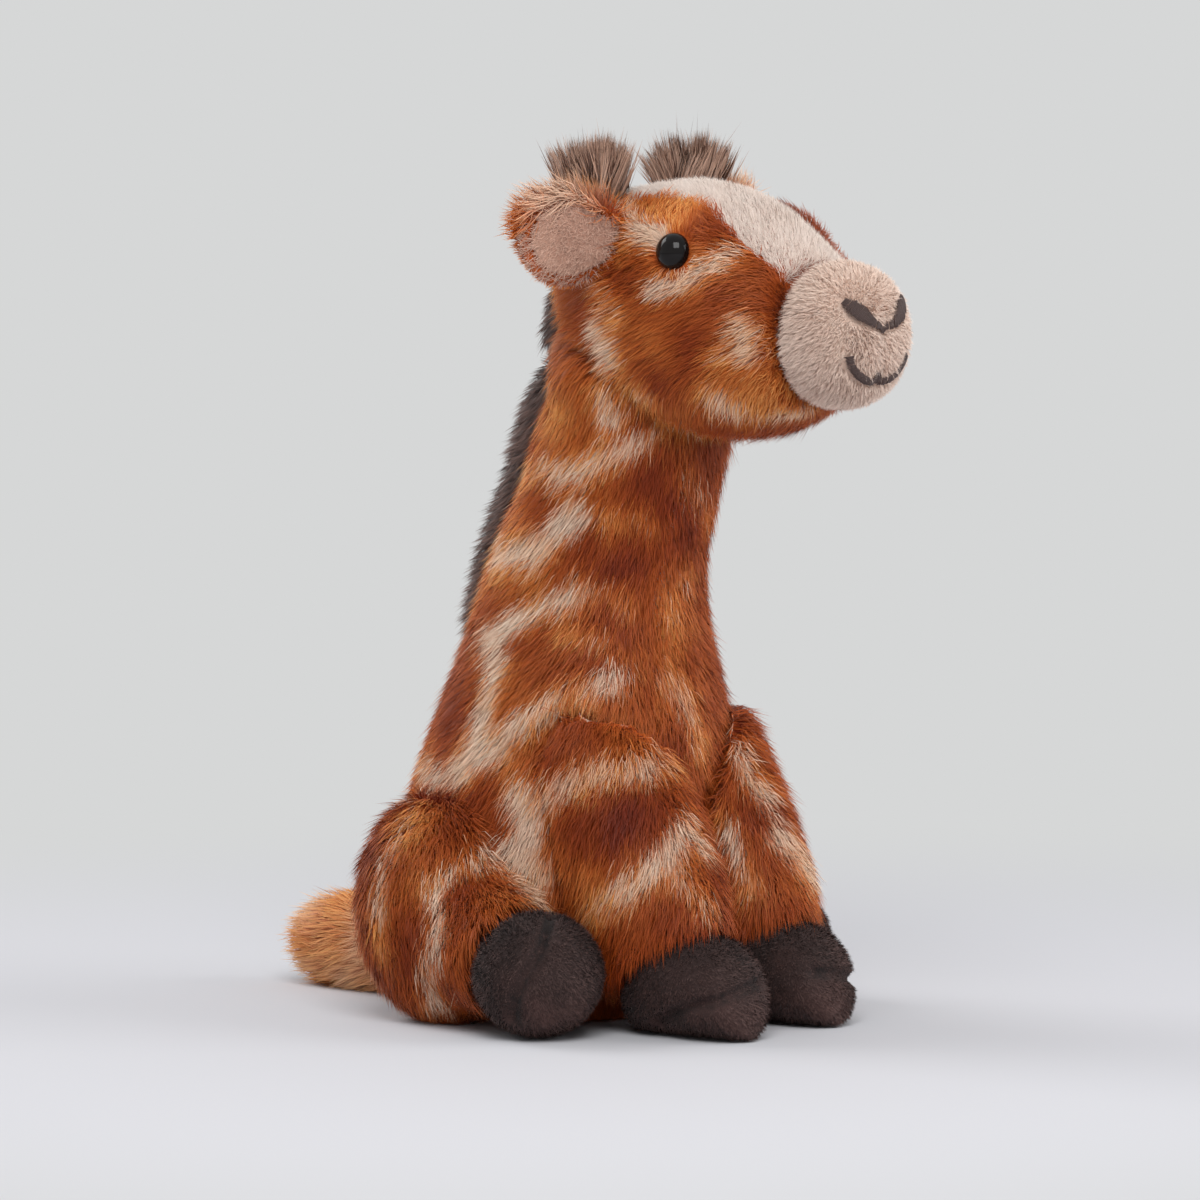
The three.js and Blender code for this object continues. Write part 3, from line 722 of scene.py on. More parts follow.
STREAKS = (
    Streak("neck_collar", 3.4, ((560, 485), (590, 474), (610, 461), (640, 450))),
    Streak("neck_collar_back", 2.4, ((530, 484), (548, 477))),
    Streak("neck_blotch", 5.4, ((498, 567), (530, 560), (548, 548), (562, 533), (578, 520))),
    Streak("neck_blotch_tail", 1.8, ((585, 522), (618, 528), (650, 536)), 0.6),
    Streak("throat", 2.6, ((682, 485), (694, 512), (704, 535))),
    Streak("neck_sash", 4.4, ((487, 648), (512, 636), (546, 614), (575, 602))),
    Streak("neck_sash_tail", 1.8, ((580, 592), (612, 597), (622, 612)), 0.5),
    Streak("back_line", 4.6, ((492, 655), (497, 680), (492, 705), (484, 740), (473, 765), (464, 785))),
    Streak("chest_line_top", 2.6, ((690, 590), (667, 602), (672, 625), (674, 650), (668, 680))),
    Streak("chest_line", 4.4, ((668, 682), (682, 703), (694, 728), (702, 758))),
    Streak("shoulder_arc_top", 1.8, ((565, 641), (600, 652), (622, 665), (640, 678)), 0.6),
    Streak("shoulder_arc", 4.0, ((500, 755), (520, 735), (542, 719), (575, 701), (620, 688))),
    Streak("shoulder_root", 6.0, ((462, 775), (482, 762), (500, 757))),
    Streak("leg_top", 3.4, ((548, 805), (590, 790), (640, 777), (680, 774)), 0.75),
    Streak("leg_side", 5.4, ((518, 805), (527, 822), (524, 852))),
    Streak("leg_side_arc", 4.0, ((530, 818), (555, 803), (580, 794), (606, 784)), 0.8),
    Streak("rump", 4.0, ((417, 765), (430, 778), (441, 791))),
    Streak("haunch_line", 1.9, ((412, 822), (400, 850), (388, 880), (383, 905), (387, 945), (391, 962))),
    Streak("haunch_arc", 3.4, ((500, 865), (472, 874), (449, 885), (434, 899))),
    Streak("haunch_drop", 2.8, ((435, 900), (440, 930), (439, 965), (444, 1012))),
    Streak("haunch_knee", 7.0, ((503, 862), (520, 872), (530, 890), (540, 905))),
    Streak("leg_low", 4.0, ((594, 926), (613, 907), (634, 893), (654, 879), (675, 855), (693, 835))),
    Streak("leg_low_fork", 2.2, ((673, 875), (690, 902), (706, 920))),
    Streak("leg_low_bar", 3.6, ((680, 850), (700, 848), (706, 862))),
    Streak("far_leg_top", 5.0, ((740, 765), (757, 787), (770, 806))),
    Streak("far_leg_low", 6.0, ((784, 848), (803, 868), (822, 898))),
    Streak("far_leg_inner", 3.0, ((723, 843), (740, 877), (752, 900))),
    Streak("under_eye", 3.0, ((643, 298), (662, 290), (682, 282), (702, 272), (724, 257))),
    Streak("ear_to_eye", 5.4, ((620, 203), (627, 224), (642, 236), (655, 240)), 0.9),
    Streak("behind_cheek", 2.6, ((592, 292), (605, 310), (613, 322))),
    Streak("jaw_back", 5.4, ((594, 338), (602, 350), (608, 364)), 0.9),
    Streak("cheek_spot", 6.0, ((735, 332), (742, 345), (740, 358)), 0.85),
    Streak("cheek_spot_tail", 2.4, ((708, 366), (725, 360))),
    Streak("jaw_spot", 3.2, ((633, 396), (648, 402)), 0.8),
    Streak("neck_front_spot", 3.4, ((598, 404), (610, 425)), 0.8),
    Streak("jaw_front_spot", 3.6, ((710, 402), (722, 412), (736, 416)), 0.85),
    Streak("chin", 3.4, ((742, 420), (770, 420), (798, 417)), 0.9),
    Streak("throat_fringe", 3.4, ((655, 438), (672, 436), (690, 440)), 0.8),
)
SHADES = (
    Shade("before_eye", 8, (722, 236)),
    # Painted shade round the eye, where the fur stands up round its sunk dome.
    Shade("eye_rim", 9, (664, 250)),
    Shade("cheek", 14, (680, 350)),
    Shade("upper_cheek", 11, (722, 300)),
    # Painted shade under the jaw, in the throat's crease.
    Shade("throat_crease", 9, (700, 440)),
    Shade("neck_top_patch", 12, (655, 490)),
    Shade("neck_middle_patch", 12, (630, 560)),
    Shade("neck_low_patch", 12, (600, 625)),
    Shade("breast_patch", 12, (600, 655)),
    Shade("shoulder_patch", 13, (600, 740)),
    Shade("leg_patch", 13, (610, 830)),
    Shade("haunch_patch", 12, (440, 845)),
    Shade("rump_patch", 8, (480, 800)),
    Shade("far_leg_patch", 8, (785, 825)),
    # Golden fur on the brow, lightened more as painted light where it faces up to the lamps.
    Shade("brow_gold", 14, (668, 204), -3.8),
    Shade("temple_gold", 9, (612, 255), -2.2),
    Shade("jaw_gold", 12, (770, 400), -2.2),
    Shade("nape_gold", 13, (560, 420), -2.4),
    Shade("rump_gold", 12, (418, 830), -2.0),
    Shade("breast_gold", 9, (725, 640), -1.4),
)
# The seams of hoof and foot and the stitched lines of the muzzle, traced in the same way.
HOOF_SEAM = ((657, 1022), (672, 1014), (688, 1007), (717, 1002), (744, 991), (763, 981), (769, 977))
FOOT_SEAM = ((551, 914), (541, 948), (524, 975), (516, 994), (511, 1020))
NOSTRIL = ((842, 303), (850, 308), (860, 315), (871, 324), (877, 328), (883, 332))
MOUTH = ((847, 356), (849, 365), (855, 373), (862, 378), (869, 380), (876, 376), (881, 372))


def halved(trace: Trace) -> list[tuple[float, float]]:
    """A trace with a point halfway along each stretch, so that it keeps to the solids."""
    fine: list[tuple[float, float]] = [trace[0]]
    for (u0, v0), (u1, v1) in zip(trace, trace[1:]):
        fine += [((u0 + u1) / 2, (v0 + v1) / 2), (u1, v1)]
    return fine


class CoatPattern:
    """The giraffe pattern: traced on the side that the photograph shows, mirrored on the far side, and
    drawn as cells with pale borders on the back."""

    line_warp = 2.2 * MM
    cell_warp = 5 * MM
    mirror = np.array([-1.0, 1.0, 1.0])

    def __init__(self, view: PhotoView, solids: BVHTree, corner: Vector, top: Vector) -> None:
        """Sets the traced lines on the solids.

        Args:
            view: The photograph's camera.
            solids: The toy's solids.
            corner: The toy's lowest corner.
            top: Its highest corner.
        """
        self.back = np.array(view.back)
        self.segments = []
        for streak in STREAKS:
            places = [self._on(view, solids, pixel) for pixel in halved(streak.trace)]
            for start, end in zip(places, places[1:]):
                self.segments.append((start, end, streak.width / 2 * MM, streak.strength))
        self.shades = [(self._on(view, solids, s.pixel), s.reach * MM, s.depth) for s in SHADES]
        self.edge_waves = Waves(11, 7)
        self.fine_waves = Waves(12, 2.2)
        self.tone_waves = Waves(13, 16)
        self.cells = self._cells(corner, top)

    @staticmethod
    def _on(view: PhotoView, solids: BVHTree, pixel: tuple[float, float]) -> Points:
        """Where a pixel's ray meets the solids, or comes nearest to them where only pile shows."""
        way = view.ray(*pixel)
        place = solids.ray_cast(view.eye, way)[0]
        if place is None:
            stops = (view.eye + way * (view.distance + step * 4 * MM) for step in range(-40, 41))
            place = min((solids.find_nearest(stop) for stop in stops), key=lambda found: found[3])[0]
        return np.array(place)

    @staticmethod
    def _cells(corner: Vector, top: Vector, pitch: float = 27) -> KDTree:
        """Seeded middles of the pattern's cells.

        Args:
            corner: The box's lowest corner.
            top: Its highest corner.
            pitch: About how far apart the middles are, in millimetres.

        Returns:
            A search tree of the middles.
        """
        rng = np.random.default_rng(5)
        low, high = np.array(corner), np.array(top)
        counts = np.ceil((high - low) / (pitch * MM)).astype(int) + 1
        tree = KDTree(int(np.prod(counts)))
        for number, index in enumerate(np.ndindex(*counts)):
            jitter = rng.uniform(-0.38, 0.38, 3)
            tree.insert(low + (np.array(index) + jitter) * pitch * MM, number)
        tree.balance()
        return tree

    def _traced(self, points: Points) -> tuple[Points, Points]:
        """How pale the traced lines make points, and how far off the nearest line is."""
        pale = np.zeros(len(points))
        gap = np.full(len(points), 1.0)
        feather = self.edge_waves(points) * 0.35 + self.fine_waves(points) * 0.3
        points = points + self.edge_waves.vectors(points) * self.line_warp
        for start, end, half, strength in self.segments:
            middle, reach = (start + end) / 2, np.linalg.norm(end - start) / 2 + 0.02
            near = np.flatnonzero(np.abs(points - middle).max(axis=1) < reach)
            if not len(near):
                continue
            far = np.linalg.norm(off_line(points[near], start, end)[1], axis=1)
            mask = smooth(2.4, 0.9, far / half + feather[near]) * strength
            pale[near] = np.maximum(pale[near], mask)
            gap[near] = np.minimum(gap[near], far - half)
        return pale, gap

    def _celled(self, points: Points) -> tuple[Points, Points]:
        """How pale the borders of the cells make points, and how far off the nearest border is."""
        bent = points + self.tone_waves.vectors(points) * self.cell_warp
        border = np.empty(len(points))
        for number, place in enumerate(bent):
            first, second = self.cells.find_n(place, 2)
            border[number] = (second[2] - first[2]) / 2
        half = (1.3 + self.tone_waves(points) * 0.8) * MM
        feather = self.edge_waves(points) * 0.35 + self.fine_waves(points) * 0.2
        return smooth(1.45, 0.6, border / half + feather), border - half

    def _shaded(self, points: Points) -> Points:
        """How deep the rust is at points, up to about 1, and below 0 where they are golden, with the painted
        shade and painted light among them.
        """
        deep = np.zeros(len(points))
        bent = points + self.tone_waves.vectors(points) * self.cell_warp
        for place, reach, depth in self.shades:
            far = np.linalg.norm(bent - place, axis=1)
            deep += smooth(1.2 * reach, 0.3 * reach, far) * depth
        return np.minimum(deep, 1)

    def read(self, points: Points, facing: Points) -> tuple[Points, Points]:
        """Reads the pattern.

        Args:
            points: Places on the coat.
            facing: The cloth's normals there.

        Returns:
            How pale each place is, and its tone from rust, 0, to orange, 1.
        """
        shown = smooth(-0.2, 0.15, facing @ self.back)
        mirrored = smooth(-0.2, 0.15, (facing * self.mirror) @ self.back) * (1 - shown)
        hidden = 1 - shown - mirrored
        pale, gap, deep = np.zeros((3, len(points)))
        for share, places in ((shown, points), (mirrored, points * self.mirror)):
            mask, far = self._traced(places)
            pale, gap, deep = pale + mask * share, gap + far * share, deep + self._shaded(places) * share
        unseen = np.flatnonzero(hidden > 0.02)
        if len(unseen):
            mask, far = self._celled(points[unseen])
            pale[unseen] += mask * hidden[unseen]
            gap[unseen] += far * hidden[unseen]
            deep[unseen] += smooth(5 * MM, 11 * MM, far) * 0.7 * hidden[unseen]
        inside = smooth(0.5 * MM, 6.5 * MM, gap)
        by_mane = smooth(42, 12, np.abs(points[:, 0]) / MM) * smooth(-0.2, 0.4, facing[:, 1])
        waves = self.tone_waves(points) * 0.28 + self.edge_waves(points) * 0.2
        tone = 0.92 - 0.52 * inside - 0.2 * deep + waves + 0.32 * by_mane
        blotch = 0.8 + 0.2 * self.edge_waves(points + 0.5) + 0.14 * self.fine_waves(points + 0.5)
        return np.clip(pale * np.minimum(blotch, 1), 0, 1), np.clip(tone, 0, 1)


@dataclass(frozen=True)
class Skin:
    """A stuffed cloth skin made from CAD solids. Sizes are in millimetres."""

    name: str
    nodes: tuple[str, ...]
    body: str
    fabric: Fabric
    voxel: float
    inset: float
    swell: float = 0.0
    fill: float | None = None
    joined: tuple[str, ...] = ()
    held: tuple[str, ...] = ()
    bends: bool = False


# The stretch of the neck, in millimetres, round where the mane's two lengths meet; dress reads it for a piece
# flagged to bend, but bends nothing along it.
NECK_BEND = ((0, 14, 194), (0, 14, 238))


class Workshop:
    """Cuts and stuffs the skins."""

    frames = 20
    wrap = 0.8
    weld = 0.01 * MM
    held_reach = (20, 12)
    cloth = {
        "quality": 4,
        "mass": 0.2,
        "tension_stiffness": 12,
        "compression_stiffness": 12,
        "bending_stiffness": 0.4,
        "use_pressure": True,
        "uniform_pressure_force": 4,
    }

    def __init__(self) -> None:
        """Starts with nothing on the bench."""
        self.skins: dict[str, bpy.types.Object] = {}
        self.specs: dict[str, Skin] = {}

    def cut(self, skin: Skin) -> None:
        """Makes a skin from its solids: one closed surface, drawn in from them."""
        sources = {node: frame["nodes"][node].data for node in (*skin.nodes, *skin.joined)}
        copies = [add_object(node + "_copy", data.copy()) for node, data in sources.items()]
        for copy in copies:
            copy.data.materials.clear()
        choose(*copies)
        bpy.ops.object.join()
        piece = copies[0]
        piece.name = skin.name
        with editing(piece):
            bpy.ops.mesh.remove_doubles(threshold=self.weld)
        apply_modifier(piece, "REMESH", mode="VOXEL", voxel_size=skin.voxel * MM)
        self._keep_outer(piece)
        apply_modifier(piece, "SMOOTH", factor=0.5, iterations=2)
        places = coordinates(piece.data)
        draw = np.full(len(places), skin.inset * MM)
        for node in skin.held:
            far = np.linalg.norm(places - middle_of(node), axis=1) / MM
            draw *= 1 - smooth(*self.held_reach, far)
        places -= normals(piece.data) * draw[:, None]
        if skin.joined:
            filling = tree_of(*(sources[node] for node in skin.joined))
            for number, place in enumerate(places):
                spot, out, _, _ = filling.find_nearest(place)
                short = self.wrap * MM - (Vector(place) - spot).dot(out)
                places[number] += np.array(out) * max(0.0, short)
        set_coordinates(piece.data, places)
        self.skins[skin.name], self.specs[skin.name] = piece, skin

    @staticmethod
    def _keep_outer(piece: bpy.types.Object) -> None:
        """Leaves only the outer surface, where the remesh has also closed a hollow."""
        front = coordinates(piece.data)[:, 1]
        with editing(piece, front == front.min()):
            bpy.ops.mesh.select_linked()
            bpy.ops.mesh.select_all(action="INVERT")
            bpy.ops.mesh.delete(type="VERT")

    def stuff(self) -> None:
        """Swells every stuffed skin as its filling does, by one cloth simulation, and caps the swelling."""
        stuffed = [name for name, skin in self.specs.items() if skin.swell]
        rest = {name: coordinates(self.skins[name].data) for name in stuffed}
        for name in stuffed:
            self._add_cloth(self.skins[name])
        scene = bpy.context.scene
        for number in range(1, self.frames + 1):
            scene.frame_set(number)
        graph = bpy.context.evaluated_depsgraph_get()
        swollen = {name: coordinates(self.skins[name].evaluated_get(graph).data) for name in stuffed}
        for name in stuffed:
            piece, cap = self.skins[name], self.specs[name].swell * MM
            piece.modifiers.clear()
            move = swollen[name] - rest[name]
            reach = np.linalg.norm(move, axis=1, keepdims=True)
            set_coordinates(piece.data, rest[name] + move * np.minimum(1, cap / np.maximum(reach, 1e-9)))
        scene.frame_set(1)
        for name, piece in self.skins.items():
            if self.specs[name].fill is not None:
                apply_modifier(piece, "SUBSURF", levels=1, render_levels=1)

    def _add_cloth(self, piece: bpy.types.Object) -> None:
        """Adds the cloth that the filling presses on from inside."""
        cloth = piece.modifiers.new("stuffing", "CLOTH")
        for key, value in self.cloth.items():
            setattr(cloth.settings, key, value)
        cloth.settings.effector_weights.gravity = 0
        cloth.collision_settings.use_collision = False
        cloth.point_cache.frame_start, cloth.point_cache.frame_end = 1, self.frames


def dress(
    piece: bpy.types.Object, material: bpy.types.Material, body: str, fabric: Fabric, bends: bool = False
) -> None:
    """Gives a finished piece its material, attaches it to its body unless it is flagged to bend, and reports
    it.

    Args:
        piece: The piece.
        material: Its material.
        body: The CAD body that it rides on.
        fabric: The record's slot for its fabric; not used.
        bends: Whether it is flagged to bend; such a piece is left unattached, in world space, and nothing
            bends it.
    """
    piece.data.materials.clear()
    piece.data.materials.append(material)
    if bends:
        start, end = (tuple(length * MM for length in place) for place in NECK_BEND)
        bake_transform(piece)
        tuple(start)
        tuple(end)
    else:
        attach(piece, body)
    LOG.info("%s: %d faces, on %s", piece.name, len(piece.data.polygons), body)


@dataclass(frozen=True)
class Pile:
    """How a fabric's strands stand. Lengths are in millimetres and angles in degrees above the cloth."""

    density: float
    length: float
    width: float
    root_lift: float = 52
    tip_lift: float = 16
    clump: float = 0.35
    clump_area: float = 8
    stray: float = 0.25
    spread: float = 0.18
    roll: float = 60
    bent: bool = True


COAT_PILE = Pile(4.1, 8.8, 0.26, clump=0.18, clump_area=12, stray=0.2)
BLAZE_PILE = Pile(9, 3.4, 0.24, 50, 34, clump=0.25, clump_area=2, stray=0.45, bent=False)
MUZZLE_PILE = Pile(7, 3.0, 0.22, 60, 34, clump=0.35, clump_area=1.6, stray=0.5)
HOOF_PILE = Pile(5, 2.0, 0.26, 60, 40, clump=0.35, clump_area=1.2, stray=0.6, bent=False)
LINING_PILE = Pile(4.5, 3.0, 0.3, 45, 22, clump=0.25, clump_area=2.5, stray=0.4, bent=False)
MANE_PILE = Pile(5, 8.6, 0.36, 60, 40, clump=0.6, clump_area=4, stray=0.25, spread=0.15)
EAR_PILE = Pile(3.6, 8.5, 0.34, 34, 12, clump=0.4, stray=0.3)
TAIL_PILE = Pile(2.6, 11, 0.36, 48, 18, clump=0.45)
TUFT_PILE = Pile(28, 27, 0.6, 88, 85, clump=0.8, clump_area=2.6, stray=0.3, roll=90)

# Where along a strand its colour shows, and how far the colours of neighbours mix.
SHOWN_SHARE = (0.35, 1.0)
MIXED = 1.0 * MM
# How near a seam strands lean over it, how much, and how much longer they are there.
SEAM_REACH = 7 * MM
SEAM_LEAN = 0.8
SEAM_EXTRA = 0.4
# How far off, in millimetres, a neighbour still covers the cloth, and what length stays under a moving one.
COVER = 0.8
PRESSED = 0.45


@dataclass
class Growth:
    """Strands on their way from roots to meshes. Places are in metres."""

    roots: Points
    facing: Points
    nap: Points
    length: Points
    pale: Points
    tone: Points


@dataclass(frozen=True)
class Ribbon:
    """The outline of one strand: how far along and across it each point is, and the faces between them."""

    along: tuple[float, ...]
    across: tuple[float, ...]
    faces: tuple[tuple[int, ...], ...]


BENT_RIBBON = Ribbon((0, 0, 0.5, 0.5, 1), (0.2, 0.8, 0.8, 0.2, 0.5), ((0, 1, 2, 3), (3, 2, 4)))
STRAIGHT_RIBBON = Ribbon((0, 0, 1), (0.2, 0.8, 0.5), ((0, 1, 2),))


class PileGrower:
    """Grows strands on skins and makes them meshes."""

    floor = 0.15 * MM
    root_depth = 0.3 * MM
    taper = 0.85
    lift_spread = 7
    seen_ahead = 0.6

    def __init__(self, seed: int) -> None:
        """Seeds every draw."""
        self.rng = np.random.default_rng(seed)

    def scatter(self, piece: bpy.types.Object, density: float) -> tuple[Points, Points]:
        """Scatters roots evenly on a mesh.

        Args:
            piece: The mesh object.
            density: Roots to the square millimetre.

        Returns:
            The roots and the normals there.
        """
        mesh = piece.data
        mesh.calc_loop_triangles()
        corners = np.empty(len(mesh.loop_triangles) * 3, np.int32)
        mesh.loop_triangles.foreach_get("vertices", corners)
        corners = corners.reshape(-1, 3)
        places, facing = coordinates(mesh), normals(mesh)
        a, b, c = (places[corners[:, i]] for i in range(3))
        areas = np.linalg.norm(np.cross(b - a, c - a), axis=1) / 2
        count = int(areas.sum() / MM**2 * density)
        chosen = self.rng.choice(len(corners), count, p=areas / areas.sum())
        u, v = self.rng.random((2, count))
        flip = u + v > 1
        u, v = np.where(flip, 1 - u, u), np.where(flip, 1 - v, v)
        shares = np.stack([1 - u - v, u, v], axis=1)[:, :, None]
        triples = corners[chosen]
        return (places[triples] * shares).sum(axis=1), unit((facing[triples] * shares).sum(axis=1))

    @staticmethod
    def uncovered(roots: Points, facing: Points, others: BVHTree, reach: float) -> Points:
        """Which roots no other piece lies on.

        Args:
            roots: The roots.
            facing: The normals there.
            others: The other pieces' faces.
            reach: How far out a piece still covers, in millimetres.

        Returns:
            True for each root that is free.
        """
        far = reach * MM
        cast = others.ray_cast
        return np.array([cast(r, n, far)[0] is None for r, n in zip(roots.tolist(), facing.tolist())])

    def shape(self, growth: Growth, pile: Pile) -> tuple[Points, Points]:
        """Bends the strands and draws their tips together in clumps.

        Args:
            growth: The strands.
            pile: How they stand.

        Returns:
            The middles and the tips.
        """
        count = len(growth.roots)
        sway = self.rng.normal(0, pile.stray, (count, 3)) + growth.nap
        flat = unit(sway - (sway * growth.facing).sum(axis=1, keepdims=True) * growth.facing)
        lift = np.radians(self.rng.normal(0, self.lift_spread, count))
        half = (growth.length / 2)[:, None]
        places = [growth.roots - growth.facing * self.root_depth]
        for angle in (pile.root_lift, pile.tip_lift):
            rise = (np.radians(angle) + lift)[:, None]
            places.append(places[-1] + half * (np.cos(rise) * flat + np.sin(rise) * growth.facing))
        _, middles, tips = places
        leaders = self.rng.choice(count, max(1, int(count / (pile.clump_area * pile.density))), replace=False)
        tree = KDTree(len(leaders))
        for number in leaders:
            tree.insert(growth.roots[number], int(number))
        tree.balance()
        leader = np.array([tree.find(root)[1] for root in growth.roots.tolist()])
        apart = np.linalg.norm(growth.roots[leader] - growth.roots, axis=1)
        near = smooth(1.5, 0.8, apart / (math.sqrt(pile.clump_area) * MM))
        pull = (pile.clump * near * self.rng.uniform(0.4, 1.2, count))[:, None]
        level = growth.length[:, None] / np.maximum(growth.length[leader], 1e-6)[:, None]
        middles = middles + (middles[leader] - middles) * pull * 0.3
        goal = growth.roots[leader] + (tips[leader] - growth.roots[leader]) * np.minimum(level, 1.3)
        tips = tips + (goal - tips) * pull
        for ends in (middles, tips):
            ends[:, 2] = np.maximum(ends[:, 2], self.floor)
        return middles, tips

    def mesh(self, name: str, growth: Growth, pile: Pile) -> list[bpy.types.Object]:
        """Makes the strands narrow tapered ribbons.

        Args:
            name: The pieces' name, which gets a number where there are several.
            growth: The strands.
            pile: How they stand.

        Returns:
            The pieces.
        """
        middles, tips = self.shape(growth, pile)
        roots = growth.roots - growth.facing * self.root_depth
        roots[:, 2] = np.maximum(roots[:, 2], self.floor)
        along = unit(tips - roots)
        side = unit(np.cross(along, growth.facing))
        turn = np.radians(self.rng.uniform(-pile.roll, pile.roll, len(roots)))[:, None]
        side = side * np.cos(turn) + np.cross(along, side) * np.sin(turn)
        width = pile.width * MM * self.rng.uniform(0.75, 1.25, len(roots))[:, None] / 2
        turned = unit(np.cross(side, along))
        outward = unit(self.seen_ahead * growth.facing + (1 - self.seen_ahead) * turned)
        edge = side * width
        rows, ribbon = [roots - edge, roots + edge, tips], STRAIGHT_RIBBON
        if pile.bent:
            rows[2:2] = [middles + edge * self.taper, middles - edge * self.taper]
            ribbon = BENT_RIBBON
        corners, repeat = np.stack(rows, axis=1), len(rows)
        chance = self.rng.random(len(roots))
        count = math.ceil(len(roots) / STRANDS_PER_PIECE)
        pieces = []
        for number, part in enumerate(np.array_split(np.arange(len(roots)), count)):
            label = name if count == 1 else f"{name}_{number + 1}"
            mesh = self._ribbons(label, corners[part], ribbon)
            carry(
                mesh,
                along=np.tile(ribbon.along, len(part)),
                chance=np.repeat(chance[part], repeat),
                pale=np.repeat(growth.pale[part], repeat),
                tone=np.repeat(growth.tone[part], repeat),
            )
            self._lay_out(mesh, len(part), ribbon)
            mesh.normals_split_custom_set_from_vertices(np.repeat(outward[part], repeat, axis=0))
            pieces.append(add_object(label, mesh))
        return pieces

    @staticmethod
    def _ribbons(name: str, corners: Points, ribbon: Ribbon) -> bpy.types.Mesh:
        """Builds a mesh of ribbons that all have the same faces.

        Args:
            name: The mesh's name.
            corners: The points of each ribbon.
            ribbon: The outline of one.

        Returns:
            The mesh.
        """
        count, repeat = corners.shape[:2]
        loops = np.concatenate(ribbon.faces)
        sizes = [len(face) for face in ribbon.faces]
        starts = np.cumsum([0, *sizes[:-1]])
        shift = np.arange(count)[:, None]
        mesh = bpy.data.meshes.new(name)
        mesh.vertices.add(count * repeat)
        mesh.vertices.foreach_set("co", corners.astype(np.float32).ravel())
        mesh.loops.add(count * len(loops))
        mesh.loops.foreach_set("vertex_index", (loops + shift * repeat).astype(np.int32).ravel())
        mesh.polygons.add(count * len(sizes))
        mesh.polygons.foreach_set("loop_start", (starts + shift * len(loops)).astype(np.int32).ravel())
        mesh.update(calc_edges=True)
        mesh.polygons.foreach_set("use_smooth", np.ones(count * len(sizes), bool))
        return mesh

    @staticmethod
    def _lay_out(mesh: bpy.types.Mesh, count: int, ribbon: Ribbon) -> None:
        """Lays the ribbons out in a square of small cells, one a ribbon, for its own picture.

        Args:
            mesh: The mesh.
            count: How many ribbons it has.
            ribbon: The outline of one.
        """
        side = math.ceil(math.sqrt(count))
        order = np.concatenate(ribbon.faces)
        across = np.array(ribbon.across)[order]
        up = (0.1 + 0.8 * np.array(ribbon.along))[order]
        cell = np.arange(count)
        places = np.empty((count, len(order), 2))
        places[:, :, 0] = ((cell % side)[:, None] + across) / side
        places[:, :, 1] = ((cell // side)[:, None] + up) / side
        layer = mesh.uv_layers.new(name="OFBake")
        layer.data.foreach_set("uv", places.astype(np.float32).ravel())


def constant(x: float, y: float, z: float) -> Field:
    """A nap that points the same way everywhere.

    Args:
        x: The way's X.
        y: Its Y.
        z: Its Z.

    Returns:
        The nap as a function of points and normals.
    """
    way = unit(np.array([x, y, z], float))
    return lambda points, facing: np.broadcast_to(way, points.shape)


